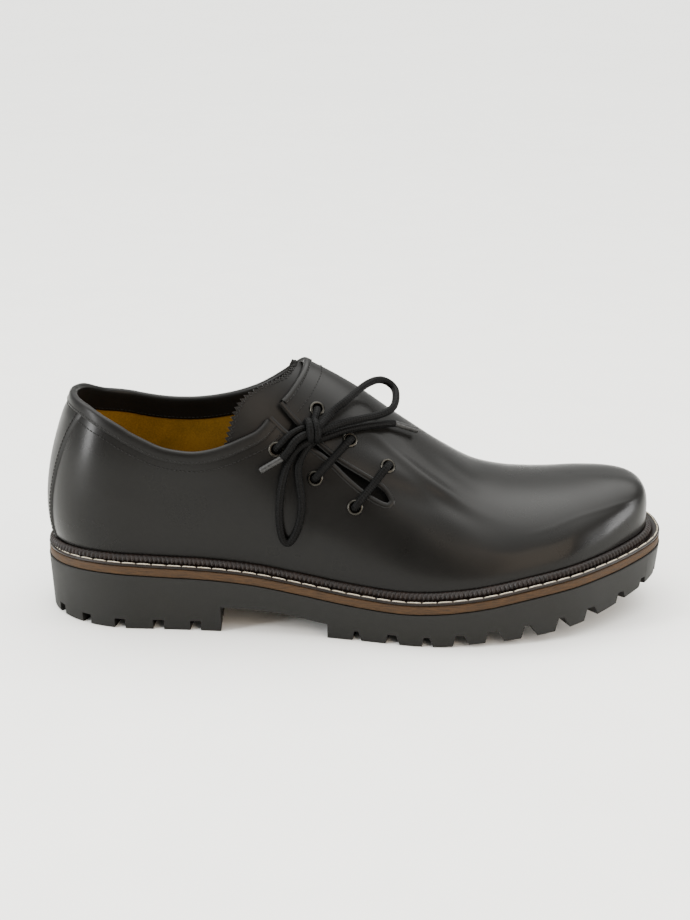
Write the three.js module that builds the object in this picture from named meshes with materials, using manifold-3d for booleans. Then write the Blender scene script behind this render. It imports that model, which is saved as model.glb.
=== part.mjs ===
// A haferl shoe for the right foot: a low alpine shoe laced on its outer side, on a lugged rubber sole.
// Millimetres, +X to the toe, +Y to the inner side of the foot, +Z up. The origin is on the floor,
// under the middle of the box that holds the shoe.
//
// The sole pieces and the upper share one plan outline. A station k runs round that outline: 0 at the
// back of the heel, then along the outer side to the tip of the toe at half of stationCount, and back
// along the inner side. Each station holds one half section of the upper, from the sole's edge up to
// the ridge of the foot.
import * as THREE from "three";
import { mergeVertices } from "three/addons/utils/BufferGeometryUtils.js";
import Module from "manifold-3d";

const wasm = await Module();
wasm.setup();

// Driving sizes.
const soleLength = 300; // outsole, back of heel to tip of toe
const ballWidth = 113; // outsole across the ball of the foot
const heelHeight = 27; // floor to the top of the rubber at the heel
const foreThickness = 13.5; // the same under the ball
const midsoleThickness = 4.2;
const weltThickness = 1.2;
const weltReach = 6.5; // from the upper's wall out to the edge of the welt
const stormHeight = 3.4; // ridge of the welt that leans on the upper
const stormThickness = 2.6;
const upperHeight = 96; // ridge of the instep over the midsole, where the flap ends
const wall = 2.4; // leather and lining
const gap = 0.3; // between pieces that touch
const insoleThickness = 2.5;
const tongueThickness = 1.6;
const tongueGap = 0.6; // room between the tongue and the lining
const lugDepth = 5;
const soleTaper = 1.9; // the sole's side leans in this far from top to tread
const bandDepth = 5; // binding, down from the edge of the opening
const bandThickness = 0.9;
const bandGap = 0.4;
const stripThickness = 0.9; // strip over the heel seam
const stripFoot = 1.2; // from the welt's ridge up to the strip
const eyeletDiameter = 7.4;
const eyeletHole = 4.6;
const laceDiameter = 3.6;
const agletDiameter = 2.9;
const laceLift = 3.1; // middle of the lace over the leather where it crosses the slot
const pinkingDepth = 1.8; // teeth of the tongue's rear edge
const pinkingTeeth = 21;
const centreLug = 15; // perimeter lugs reach this far in
const channelWidth = 4;
const heelBreast = 0.287; // share of soleLength where the heel block ends
const treadStart = 0.455; // share of soleLength where the forefoot lugs begin

// Rounding of the plan outline's two ends.
const heelRound = 44;
const heelSquareness = 1.9;
const toeRound = 62;
const toeSquareness = 2.45;
const toeDrift = 2; // the tip of the toe lies this far to the inner side
const heelFan = 34; // from the back of the upper to the middle of its heel fan
const toeFan = 40; // the same at the toe

// Plan outline: shares of ballWidth either side of the long axis, at shares of soleLength.
const outlineRows = [
  { at: 0.0, outer: 0.335, inner: 0.331, welt: 0.75 },
  { at: 0.14, outer: 0.342, inner: 0.336, welt: 0.95 },
  { at: 0.28, outer: 0.37, inner: 0.315, welt: 1.0 },
  { at: 0.4, outer: 0.407, inner: 0.3, welt: 1.0 },
  { at: 0.5, outer: 0.465, inner: 0.328, welt: 1.0 },
  { at: 0.6, outer: 0.526, inner: 0.394, welt: 1.0 },
  { at: 0.68, outer: 0.533, inner: 0.438, welt: 1.0 },
  { at: 0.76, outer: 0.504, inner: 0.465, welt: 1.0 },
  { at: 0.84, outer: 0.442, inner: 0.469, welt: 1.0 },
  { at: 0.9, outer: 0.376, inner: 0.456, welt: 1.02 },
  { at: 0.95, outer: 0.327, inner: 0.438, welt: 1.1 },
  { at: 1.0, outer: 0.301, inner: 0.416, welt: 1.2 },
];

// Heights along the sole. deck is the top of the rubber, as a share of heelHeight; tread is its
// underside at heel and forefoot, as a share of foreThickness.
const soleRows = [
  { at: 0.0, deck: 1.0, tread: 0.0 },
  { at: 0.1, deck: 1.05, tread: 0.0 },
  { at: 0.2, deck: 1.012, tread: 0.0 },
  { at: 0.27, deck: 0.985, tread: 0.0 },
  { at: 0.34, deck: 0.915, tread: 0.0 },
  { at: 0.41, deck: 0.79, tread: 0.0 },
  { at: 0.49, deck: 0.663, tread: 0.0 },
  { at: 0.56, deck: 0.606, tread: 0.0 },
  { at: 0.62, deck: 0.63, tread: 0.0 },
  { at: 0.69, deck: 0.711, tread: 0.125 },
  { at: 0.77, deck: 0.857, tread: 0.24 },
  { at: 0.85, deck: 0.971, tread: 0.46 },
  { at: 0.92, deck: 1.066, tread: 0.83 },
  { at: 1.0, deck: 1.22, tread: 1.38 },
];

// Ridge of the upper: its height over the midsole as a share of upperHeight, and its place to the
// inner side as a share of ballWidth.
const ridgeRows = [
  { at: 0.0, ridge: 1.192, shift: 0.0 },
  { at: 0.14, ridge: 1.195, shift: 0.0 },
  { at: 0.3, ridge: 1.122, shift: 0.01 },
  { at: 0.427, ridge: 0.996, shift: 0.044 },
  { at: 0.5, ridge: 0.897, shift: 0.049 },
  { at: 0.573, ridge: 0.745, shift: 0.054 },
  { at: 0.64, ridge: 0.587, shift: 0.058 },
  { at: 0.7, ridge: 0.46, shift: 0.06 },
  { at: 0.76, ridge: 0.378, shift: 0.058 },
  { at: 0.845, ridge: 0.339, shift: 0.054 },
  { at: 0.92, ridge: 0.345, shift: 0.054 },
  { at: 1.0, ridge: 0.347, shift: 0.054 },
];

// Half sections on either side of the ridge: the lean of the wall at its foot, in millimetres, and how
// full the wall and the top are, from 0 to 1.
const outerWallRows = [
  { at: 0.0, lean: 16.0, foot: 0.34, full: 0.22 },
  { at: 0.14, lean: 9.0, foot: 0.38, full: 0.7 },
  { at: 0.3, lean: 8.0, foot: 0.4, full: 0.7 },
  { at: 0.427, lean: 5.0, foot: 0.42, full: 0.55 },
  { at: 0.5, lean: 4.0, foot: 0.42, full: 0.5 },
  { at: 0.573, lean: 4.0, foot: 0.42, full: 0.5 },
  { at: 0.64, lean: 4.0, foot: 0.44, full: 0.54 },
  { at: 0.7, lean: 4.0, foot: 0.48, full: 0.6 },
  { at: 0.76, lean: 4.0, foot: 0.52, full: 0.68 },
  { at: 0.845, lean: 4.0, foot: 0.52, full: 0.75 },
  { at: 0.92, lean: 1.5, foot: 0.56, full: 0.99 },
  { at: 1.0, lean: 0.9, foot: 1.0, full: 1.11 },
];
const innerWallRows = [
  { at: 0.0, lean: 16.0, foot: 0.34, full: 0.22 },
  { at: 0.14, lean: 9.0, foot: 0.38, full: 0.7 },
  { at: 0.3, lean: 6.0, foot: 0.44, full: 0.7 },
  { at: 0.427, lean: 3.0, foot: 0.5, full: 0.6 },
  { at: 0.5, lean: 3.0, foot: 0.52, full: 0.55 },
  { at: 0.573, lean: 3.0, foot: 0.54, full: 0.55 },
  { at: 0.64, lean: 3.0, foot: 0.56, full: 0.6 },
  { at: 0.7, lean: 3.0, foot: 0.58, full: 0.65 },
  { at: 0.76, lean: 3.0, foot: 0.6, full: 0.75 },
  { at: 0.845, lean: 4.0, foot: 0.56, full: 0.8 },
  { at: 0.92, lean: 1.5, foot: 0.6, full: 1.0 },
  { at: 1.0, lean: 0.9, foot: 1.0, full: 1.11 },
];

// Edge of the opening, as places on the upper: at is a share of soleLength, up runs over a half
// section, 0 at the sole's edge on the outer side, 1 on the ridge and 2 at the sole's edge on the
// inner side. The outer run starts at the quarter's front corner and ends at the back of the heel.
const outerEdgeRows = [
  { at: 0.3623, up: 0.5517 },
  { at: 0.3546, up: 0.5215 },
  { at: 0.3424, up: 0.4896 },
  { at: 0.3198, up: 0.4534 },
  { at: 0.2967, up: 0.4217 },
  { at: 0.2734, up: 0.3984 },
  { at: 0.2504, up: 0.3844 },
  { at: 0.2274, up: 0.3815 },
  { at: 0.1967, up: 0.3888 },
  { at: 0.1669, up: 0.411 },
  { at: 0.1346, up: 0.4422 },
  { at: 0.0956, up: 0.4745 },
  { at: 0.0591, up: 0.5008 },
  { at: 0.0272, up: 0.5145 },
  { at: 0.003, up: 0.5241 },
  { at: 0.0, up: 0.5251 },
];

// The inner run goes on from the heel, along the inner side and over the ridge to the flap's corner.
const innerEdgeRows = [
  { at: 0.0, up: 1.4749 },
  { at: 0.003, up: 1.4759 },
  { at: 0.0279, up: 1.4908 },
  { at: 0.0742, up: 1.5326 },
  { at: 0.1063, up: 1.5475 },
  { at: 0.1478, up: 1.5635 },
  { at: 0.1814, up: 1.5713 },
  { at: 0.215, up: 1.5714 },
  { at: 0.2482, up: 1.5636 },
  { at: 0.2813, up: 1.5437 },
  { at: 0.3151, up: 1.5097 },
  { at: 0.3453, up: 1.4584 },
  { at: 0.3703, up: 1.3881 },
  { at: 0.3921, up: 1.2961 },
  { at: 0.409, up: 1.1839 },
  { at: 0.42, up: 1.0528 },
  { at: 0.422, up: 0.9521 },
  { at: 0.4165, up: 0.848 },
  { at: 0.4074, up: 0.7676 },
  { at: 0.3961, up: 0.6968 },
  { at: 0.3853, up: 0.649 },
];

// Lacing slot: its lower and upper edge at shares of soleLength. The first row lies behind the mouth.
const slotRows = [
  { at: 0.3499, low: 0.5712, high: 0.7279 },
  { at: 0.3623, low: 0.5517, high: 0.6988 },
  { at: 0.3739, low: 0.5333, high: 0.6719 },
  { at: 0.3853, low: 0.518, high: 0.649 },
  { at: 0.3978, low: 0.5068, high: 0.62 },
  { at: 0.4109, low: 0.4972, high: 0.5936 },
  { at: 0.4269, low: 0.4885, high: 0.5659 },
  { at: 0.4449, low: 0.4744, high: 0.5428 },
  { at: 0.4598, low: 0.4569, high: 0.5264 },
  { at: 0.4746, low: 0.4354, high: 0.514 },
  { at: 0.4894, low: 0.4181, high: 0.5068 },
  { at: 0.5051, low: 0.4031, high: 0.5019 },
  { at: 0.5188, low: 0.3953, high: 0.4984 },
  { at: 0.5335, low: 0.3931, high: 0.4955 },
  { at: 0.5434, low: 0.3992, high: 0.4884 },
  { at: 0.5504, low: 0.4143, high: 0.4731 },
  { at: 0.5549, low: 0.4369, high: 0.4533 },
];

const eyeletRows = [
  { name: "vamp_1", at: 0.4372, up: 0.6745 },
  { name: "vamp_2", at: 0.488, up: 0.6063 },
  { name: "vamp_3", at: 0.5458, up: 0.5812 },
  { name: "quarter_1", at: 0.3741, up: 0.4554 },
  { name: "quarter_2", at: 0.4326, up: 0.3991 },
  { name: "quarter_3", at: 0.494, up: 0.3476 },
];

// Tongue: the share of soleLength at which its rear edge stands, where at is a share of its width,
// from its low edge on the outer side over the ridge. Then how low it reaches along the shoe.
const tongueRearRows = [
  { at: 0.0, place: 0.291 },
  { at: 0.075, place: 0.297 },
  { at: 0.19, place: 0.31 },
  { at: 0.264, place: 0.3246 },
  { at: 0.345, place: 0.3496 },
  { at: 0.468, place: 0.385 },
  { at: 0.58, place: 0.399 },
  { at: 0.7, place: 0.405 },
  { at: 0.85, place: 0.402 },
  { at: 1.0, place: 0.395 },
];
const tongueLowRows = [
  { at: 0.29, low: 0.4 },
  { at: 0.4, low: 0.36 },
  { at: 0.5, low: 0.31 },
  { at: 0.6, low: 0.31 },
];
const tongueHigh = 1.25;
const tongueFront = 0.6;

// Loose parts of the lace: each row is a place on the upper and its lift over the leather.
const laceRuns = {
  lace_loop_front: [
    { at: 0.4435, up: 0.6097, lift: 6.5 },
    { at: 0.4564, up: 0.6693, lift: 6.5 },
    { at: 0.4709, up: 0.7176, lift: 9 },
    { at: 0.4919, up: 0.8197, lift: 9 },
    { at: 0.5092, up: 0.9142, lift: 9.5 },
    { at: 0.5225, up: 0.9599, lift: 11 },
    { at: 0.5384, up: 0.9714, lift: 11 },
    { at: 0.5425, up: 0.8951, lift: 11 },
    { at: 0.5383, up: 0.8036, lift: 10.5 },
    { at: 0.5238, up: 0.7511, lift: 8.5 },
    { at: 0.4951, up: 0.6811, lift: 7.5 },
    { at: 0.4674, up: 0.6291, lift: 6.5 },
    { at: 0.4495, up: 0.5896, lift: 6.5 },
  ],
  lace_loop_low: [
    { at: 0.4042, up: 0.4803, lift: 5 },
    { at: 0.39, up: 0.4136, lift: 2.6 },
    { at: 0.3811, up: 0.3242, lift: 2.4 },
    { at: 0.3781, up: 0.239, lift: 2.4 },
    { at: 0.3822, up: 0.1649, lift: 2.4 },
    { at: 0.39, up: 0.1399, lift: 2.4 },
    { at: 0.3989, up: 0.1652, lift: 2.4 },
    { at: 0.4084, up: 0.2216, lift: 2.4 },
    { at: 0.4129, up: 0.2939, lift: 2.4 },
    { at: 0.4103, up: 0.3421, lift: 2.4 },
    { at: 0.4068, up: 0.4211, lift: 2.6 },
    { at: 0.4152, up: 0.4777, lift: 4.5 },
  ],
  lace_end_front: [
    { at: 0.4467, up: 0.5612, lift: 3.2 },
    { at: 0.4851, up: 0.6408, lift: 2.8 },
    { at: 0.5232, up: 0.7279, lift: 2.8 },
    { at: 0.5524, up: 0.8095, lift: 3.0 },
  ],
  lace_end_rear: [
    { at: 0.3964, up: 0.4895, lift: 7.6 },
    { at: 0.392, up: 0.4664, lift: 7.2 },
    { at: 0.3837, up: 0.4356, lift: 5.4 },
  ],
};
const agletRuns = {
  aglet_front: [
    { at: 0.5551, up: 0.8175, lift: 3.0 },
    { at: 0.5932, up: 0.8796, lift: 3.0 },
  ],
  aglet_rear: [
    { at: 0.3813, up: 0.4296, lift: 5.1 },
    { at: 0.3494, up: 0.3694, lift: 3.4 },
  ],
};
const knotPlace = { at: 0.4258, up: 0.5674, lift: 5.2 };
const knotSize = { along: 6.5, across: 5, high: 3.6 };

// Strip over the heel seam: half its width at a rise on the upper.
const stripRows = [
  { at: 0.08, half: 10.8 },
  { at: 0.22, half: 14.4 },
  { at: 0.31, half: 16.6 },
  { at: 0.39, half: 18.2 },
  { at: 0.459, half: 20.6 },
];
const stripDip = 0.012; // how far the ends of its top edge lie lower

// Grooves between the lugs at the sole's edge: mouth and roof are widths in millimetres.
const heelGrooves = [
  { at: 0.027, mouth: 5, roof: 5 },
  { at: 0.073, mouth: 5, roof: 5 },
  { at: 0.127, mouth: 5.4, roof: 5.2 },
  { at: 0.192, mouth: 5.4, roof: 5.2 },
  { at: 0.25, mouth: 5.2, roof: 5 },
];
const foreGrooves = [
  { at: 0.499, mouth: 4.5, roof: 2 },
  { at: 0.554, mouth: 7, roof: 4 },
  { at: 0.608, mouth: 4.5, roof: 2 },
  { at: 0.66, mouth: 7, roof: 4 },
  { at: 0.712, mouth: 8, roof: 5 },
  { at: 0.767, mouth: 5.5, roof: 2 },
  { at: 0.822, mouth: 5.5, roof: 2 },
  { at: 0.872, mouth: 8, roof: 5 },
  { at: 0.925, mouth: 5.5, roof: 3 },
  { at: 0.966, mouth: 5.5, roof: 3 },
  { at: 0.993, mouth: 4.5, roof: 3 },
];
const crossGrooves = [0.15, 0.54, 0.64, 0.74, 0.84];

// Underside of the arch over the floor, as a share of heelHeight.
const archRows = [
  { at: 0.287, roof: 0.475 },
  { at: 0.37, roof: 0.42 },
  { at: 0.455, roof: 0.27 },
];

// Sampling.
const heelSteps = 6;
const middleSteps = 16;
const toeSteps = 8;
const halfCount = heelSteps + middleSteps + toeSteps;
const stationCount = 2 * halfCount;
const profileSteps = 12;
const stripFirstRow = 1;
const stripLastRow = 5;

const heelBack = -soleLength / 2;
const toeTip = soleLength / 2;

// Value of a column at a share of the length, on a smooth curve through the rows.
function along(rows, column, at) {
  const last = rows.length - 1;
  const s = Math.min(Math.max(at, rows[0].at), rows[last].at);
  let i = rows.findIndex((row) => row.at > s) - 1;
  if (i < 0) i = last - 1;
  const slope = (j) => {
    const a = rows[Math.max(j - 1, 0)];
    const b = rows[Math.min(j + 1, last)];
    return (b[column] - a[column]) / (b.at - a.at);
  };
  const span = rows[i + 1].at - rows[i].at;
  const t = (s - rows[i].at) / span;
  const t2 = t * t;
  const t3 = t2 * t;
  return (
    (2 * t3 - 3 * t2 + 1) * rows[i][column] +
    (t3 - 2 * t2 + t) * span * slope(i) +
    (3 * t2 - 2 * t3) * rows[i + 1][column] +
    (t3 - t2) * span * slope(i + 1)
  );
}

const shareOf = (x) => (x - heelBack) / soleLength;

// Distance along the shoe and how far the outline has opened from its tip, from 0 to 1, at a station.
function reach(k) {
  const m = ((k % stationCount) + stationCount) % stationCount;
  const half = m <= halfCount ? m : stationCount - m;
  if (half < heelSteps) {
    const turn = (half / heelSteps) * (Math.PI / 2);
    const power = 2 / heelSquareness;
    const x = heelBack + heelRound * (1 - Math.cos(turn) ** power);
    return { x, open: Math.sin(turn) ** power, tip: 0 };
  }
  if (half > heelSteps + middleSteps) {
    const turn = ((halfCount - half) / toeSteps) * (Math.PI / 2);
    const power = 2 / toeSquareness;
    const x = toeTip - toeRound * (1 - Math.cos(turn) ** power);
    return { x, open: Math.sin(turn) ** power, tip: toeDrift };
  }
  const t = (half - heelSteps) / middleSteps;
  const x = THREE.MathUtils.lerp(heelBack + heelRound, toeTip - toeRound, t);
  return { x, open: 1, tip: 0 };
}

const isOuter = (k) => ((k % stationCount) + stationCount) % stationCount <= halfCount;

// Point of the outsole's plan outline at a station.
function outlinePoint(k) {
  const { x, open, tip } = reach(k);
  const width = along(outlineRows, isOuter(k) ? "outer" : "inner", shareOf(x)) * ballWidth;
  const side = isOuter(k) ? -width : width;
  return new THREE.Vector2(x, THREE.MathUtils.lerp(tip, side, open));
}

// The same, moved square to the outline towards the inside of the shoe.
function insetPoint(k, inset) {
  const step = 0.02;
  const a = outlinePoint(k - step);
  const b = outlinePoint(k + step);
  const inward = new THREE.Vector2(-(b.y - a.y), b.x - a.x).normalize();
  return outlinePoint(k).addScaledVector(inward, inset);
}

const deckHeight = (x) => along(soleRows, "deck", shareOf(x)) * heelHeight;
const treadHeight = (x) => Math.max(along(soleRows, "tread", shareOf(x)) * foreThickness, 0);
const seatHeight = (x) => deckHeight(x) + midsoleThickness + gap;

// The upper's half sections fan round these two places at heel and toe.
const heelCentre = heelBack + weltReach + heelFan;
const toeCentre = toeTip - weltReach - toeFan;

function ridgePoint(x) {
  const s = shareOf(x);
  const z = seatHeight(x) + along(ridgeRows, "ridge", s) * upperHeight;
  return new THREE.Vector3(x, along(ridgeRows, "shift", s) * ballWidth, z);
}

function ridgeSlope(x) {
  const step = 0.5;
  return (ridgePoint(x + step).z - ridgePoint(x - step).z) / (2 * step);
}

// Point on the outside of the last at a station; up runs from 0 at the sole's edge to 1 on the ridge,
// and past 1 down the other side.
function lastPoint(place, up) {
  const k = up > 1 ? -place : place;
  const t = up > 1 ? 2 - up : up;
  const foot2 = insetPoint(k, weltReach * along(outlineRows, "welt", shareOf(reach(k).x)));
  const foot = new THREE.Vector3(foot2.x, foot2.y, seatHeight(foot2.x));
  const x = THREE.MathUtils.clamp(reach(k).x, heelCentre, toeCentre);
  const top = ridgePoint(x);
  const s = shareOf(reach(k).x);
  const rows = isOuter(k) ? outerWallRows : innerWallRows;
  const lean = along(rows, "lean", s);
  const wallShare = along(rows, "foot", s);
  const topShare = along(rows, "full", s);
  const out = new THREE.Vector2(foot.x - top.x, foot.y - top.y);
  const radius = out.length();
  out.normalize();
  const rise = top.z - foot.z;
  const slope = ridgeSlope(x) * out.x;
  const r1 = radius + lean;
  const r2 = radius * topShare;
  const z1 = wallShare * rise;
  const z2 = rise + slope * r2;
  const b0 = (1 - t) ** 3;
  const b1 = 3 * t * (1 - t) ** 2;
  const b2 = 3 * t * t * (1 - t);
  const b3 = t ** 3;
  const r = b0 * radius + b1 * r1 + b2 * r2;
  const z = b1 * z1 + b2 * z2 + b3 * rise;
  return new THREE.Vector3(top.x + out.x * r, top.y + out.y * r, foot.z + z);
}

function lastNormal(k, t) {
  const fanned = Math.abs(reach(k).open - 1) > 1e-6;
  if (Math.abs(t - 1) < 0.001 && fanned) {
    const x = THREE.MathUtils.clamp(reach(k).x, heelCentre, toeCentre);
    return new THREE.Vector3(-ridgeSlope(x), 0, 1).normalize();
  }
  const dk = 0.05;
  const dt = 0.004;
  const alongRing = lastPoint(k + dk, t).sub(lastPoint(k - dk, t));
  const upWall = lastPoint(k, t + dt).sub(lastPoint(k, Math.max(t - dt, 0)));
  return alongRing.cross(upWall).normalize();
}

// Point at a distance off the last, outwards if positive.
const skinPoint = (k, t, off) => lastPoint(k, t).addScaledVector(lastNormal(k, t), off);

// Turns a list of points and triangles into a closed solid.
function solidOf(points, triangles) {
  const geometry = new THREE.BufferGeometry();
  geometry.setAttribute("position", new THREE.Float32BufferAttribute(points.flatMap((p) => p.toArray()), 3));
  geometry.setIndex(triangles.flat());
  return solidOfGeometry(geometry);
}

function solidOfGeometry(geometry) {
  const bare = geometry.clone();
  bare.deleteAttribute("normal");
  bare.deleteAttribute("uv");
  const merged = mergeVertices(bare, 1e-4);
  const index = Array.from(merged.index.array);
  const kept = [];
  for (let i = 0; i < index.length; i += 3) {
    const [a, b, c] = index.slice(i, i + 3);
    if (a !== b && b !== c && c !== a) kept.push(a, b, c);
  }
  return new wasm.Manifold(
    new wasm.Mesh({
      numProp: 3,
      vertProperties: merged.attributes.position.array,
      triVerts: new Uint32Array(kept),
    }),
  );
}

// Joins rings of equal length into a skin; each ring is a list of points.
function skinOfRings(rings, closedRing = true, closedRun = false) {
  const count = rings[0].length;
  const points = rings.flat();
  const triangles = [];
  const lastRing = closedRun ? rings.length : rings.length - 1;
  const lastSide = closedRing ? count : count - 1;
  for (let j = 0; j < lastRing; j++) {
    for (let i = 0; i < lastSide; i++) {
      const a = j * count + i;
      const b = j * count + ((i + 1) % count);
      const c = ((j + 1) % rings.length) * count + i;
      const d = ((j + 1) % rings.length) * count + ((i + 1) % count);
      triangles.push([a, b, d], [a, d, c]);
    }
  }
  return { points, triangles };
}

const stations = Array.from({ length: stationCount }, (_, k) => k);

// A plate with the outline's shape: side walls through the given rings, bottom ring first, closed
// below and above by strips from the outer side to the inner side.
function plateOf(rings) {
  const { points, triangles } = skinOfRings(rings);
  const top = (rings.length - 1) * stationCount;
  for (let i = 0; i < halfCount; i++) {
    const mate = (stationCount - i) % stationCount;
    const next = stationCount - i - 1;
    triangles.push([i, mate, i + 1], [mate, next, i + 1]);
    triangles.push([top + i, top + i + 1, top + mate], [top + mate, top + i + 1, top + next]);
  }
  return solidOf(points, triangles);
}

const ringAt = (inset, height) =>
  stations.map((k) => {
    const p = insetPoint(k, inset);
    return new THREE.Vector3(p.x, p.y, height(p.x));
  });

const weltInset = (k) => weltReach * along(outlineRows, "welt", shareOf(reach(k).x));

// The upper's skins are flat between stations and rows. This gives a place on them, at a distance
// off the last, so that every piece laid on the upper follows its facets.
function facetPoint(place, up, off) {
  const k = up > 1 ? -place : place;
  const t = up > 1 ? 2 - up : up;
  const k0 = Math.floor(k);
  const row = Math.min(Math.floor(t * profileSteps), profileSteps - 1);
  const fk = k - k0;
  const ft = t * profileSteps - row;
  const corner = (dk, dt) => gridPoint(k0 + dk, row + dt, off);
  const low = corner(0, 0).lerp(corner(1, 0), fk);
  const high = corner(0, 1).lerp(corner(1, 1), fk);
  return low.lerp(high, ft);
}

const gridMemory = new Map();

function gridPoint(k, row, off) {
  const m = ((k % stationCount) + stationCount) % stationCount;
  const key = `${m},${row},${off}`;
  if (!gridMemory.has(key)) {
    const point = skinPoint(m, row / profileSteps, off);
    if (row === 0) point.z = seatHeight(point.x);
    gridMemory.set(key, point);
  }
  return gridMemory.get(key).clone();
}

// Station on the outer side at a share of the length.
function stationAt(at) {
  const x = heelBack + at * soleLength;
  let low = 0;
  let high = halfCount;
  for (let i = 0; i < 40; i++) {
    const middle = (low + high) / 2;
    if (reach(middle).x < x) low = middle;
    else high = middle;
  }
  return (low + high) / 2;
}

// Places along a smooth line through the rows, evenly spaced; x is the station and y the rise.
const riseScale = 12;

function placesAlong(rows, count) {
  const points = rows.map((row) => new THREE.Vector3(stationAt(row.at), row.up * riseScale, row.lift ?? 0));
  const curve = new THREE.CatmullRomCurve3(points, false, "centripetal");
  return curve.getSpacedPoints(count).map((p) => ({ k: p.x, up: p.y / riseScale, lift: p.z }));
}

// A place moved over the upper by a distance in a direction.
function slide(place, direction, distance) {
  const step = 0.01;
  const base = lastPoint(place.k, place.up);
  const a = lastPoint(place.k + step, place.up).sub(base).divideScalar(step);
  const b = lastPoint(place.k, place.up + step).sub(base).divideScalar(step);
  const aa = a.dot(a);
  const bb = b.dot(b);
  const ab = a.dot(b);
  const ad = a.dot(direction) * distance;
  const bd = b.dot(direction) * distance;
  const det = aa * bb - ab * ab;
  return { k: place.k + (ad * bb - bd * ab) / det, up: place.up + (bd * aa - ad * ab) / det };
}

// A solid swept through sections that all have the same number of points, closed at both ends.
function sweepOf(sections) {
  const { points, triangles } = skinOfRings(sections);
  const count = sections[0].length;
  const last = (sections.length - 1) * count;
  capOf(sections[0]).forEach(([a, b, c]) => triangles.push([a, c, b]));
  capOf(sections[sections.length - 1]).forEach(([a, b, c]) => triangles.push([last + a, last + b, last + c]));
  return outward(solidOf(points, triangles), points, triangles);
}

// Triangles of a flat section, in the order of its points.
function capOf(section) {
  const origin = section[0];
  const normal = new THREE.Vector3();
  for (let i = 1; i < section.length - 1; i++) {
    const a = section[i].clone().sub(origin);
    const b = section[i + 1].clone().sub(origin);
    normal.add(a.cross(b));
  }
  normal.normalize();
  const u = section[1].clone().sub(origin).normalize();
  const v = normal.clone().cross(u);
  const offsets = section.map((p) => p.clone().sub(origin));
  return capOfPlan(offsets.map((p) => new THREE.Vector2(p.dot(u), p.dot(v))));
}

// Triangles of a plan outline, wound the way the outline runs.
function capOfPlan(plan) {
  const turn = Math.sign(THREE.ShapeUtils.area(plan));
  return THREE.ShapeUtils.triangulateShape(plan.slice(), []).map(([a, b, c]) => {
    const area = THREE.ShapeUtils.area([plan[a], plan[b], plan[c]]);
    return Math.sign(area) === turn ? [a, b, c] : [a, c, b];
  });
}

// The same solid with its faces turned out.
function outward(solid, points, triangles) {
  if (solid.volume() > 0) return solid;
  return solidOf(points, triangles.map(([a, b, c]) => [a, c, b]));
}

// A solid between two loops of equal length, closed by the same cap on both.
function prismOf(lower, upper, cap) {
  const { points, triangles } = skinOfRings([lower, upper]);
  const count = lower.length;
  cap.forEach(([a, b, c]) => {
    triangles.push([a, c, b], [count + a, count + b, count + c]);
  });
  return outward(solidOf(points, triangles), points, triangles);
}

// Round bar through points, with flat ends.
function roundBar(points, diameter, steps, sides) {
  const curve = new THREE.CatmullRomCurve3(points, false, "centripetal");
  const frames = curve.computeFrenetFrames(steps, false);
  const sections = [];
  for (let i = 0; i <= steps; i++) {
    const centre = curve.getPointAt(i / steps);
    const ring = [];
    for (let j = 0; j < sides; j++) {
      const turn = (j / sides) * 2 * Math.PI;
      const p = centre.clone();
      p.addScaledVector(frames.normals[i], (Math.cos(turn) * diameter) / 2);
      p.addScaledVector(frames.binormals[i], (Math.sin(turn) * diameter) / 2);
      ring.push(p);
    }
    sections.push(ring);
  }
  return sweepOf(sections);
}

// Midsole, insole and the block of the outsole.
const midsole = plateOf([ringAt(0.4, deckHeight), ringAt(0.4, (x) => deckHeight(x) + midsoleThickness)]);

const insoleInset = (k) => weltInset(k) + wall + 2 * gap;
const insoleRing = (rise) =>
  stations.map((k) => {
    const p = insetPoint(k, insoleInset(k));
    return new THREE.Vector3(p.x, p.y, seatHeight(p.x) + rise);
  });
const insole = plateOf([insoleRing(0), insoleRing(insoleThickness)]);

let outsole = plateOf([
  ringAt(soleTaper, treadHeight),
  ringAt(soleTaper - 0.6, (x) => treadHeight(x) + 0.6),
  ringAt(0, (x) => deckHeight(x) - gap),
]);

// Void under the arch, from the heel block to the forefoot.
function archVoid() {
  const low = -5;
  const side = ballWidth;
  const steps = 6;
  const roof = [];
  for (let i = 0; i <= steps; i++) {
    const at = THREE.MathUtils.lerp(heelBreast, treadStart, i / steps);
    roof.push([heelBack + at * soleLength, along(archRows, "roof", at) * heelHeight]);
  }
  const outline = [[roof[0][0], low], ...roof, [roof[steps][0], low]];
  const ring = (y) => outline.map(([x, z]) => new THREE.Vector3(x, y, z));
  return sweepOf([ring(-side), ring(side)]);
}

// Groove from the sole's edge inwards, at a station.
function grooveAt(k, mouth, roof) {
  const edge = insetPoint(k, -4);
  const inner = insetPoint(k, centreLug + channelWidth / 2);
  const inward = inner.clone().sub(edge).normalize();
  const tangent = new THREE.Vector2(-inward.y, inward.x);
  const base = treadHeight(insetPoint(k, centreLug / 2).x);
  const ring = (centre) =>
    [
      [-mouth / 2, -2],
      [-roof / 2, lugDepth],
      [roof / 2, lugDepth],
      [mouth / 2, -2],
    ].map(([across, z]) => {
      const p = centre.clone().addScaledVector(tangent, across);
      return new THREE.Vector3(p.x, p.y, base + z);
    });
  return sweepOf([ring(edge), ring(inner)]);
}

// Channel round the middle lugs of the heel and of the forefoot.
function channel() {
  const below = (x) => treadHeight(x) - 2;
  const roof = (x) => treadHeight(x) + lugDepth * 0.8;
  const plate = (inset) => plateOf([ringAt(inset, below), ringAt(inset, roof)]);
  return plate(centreLug).subtract(plate(centreLug + channelWidth));
}

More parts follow.
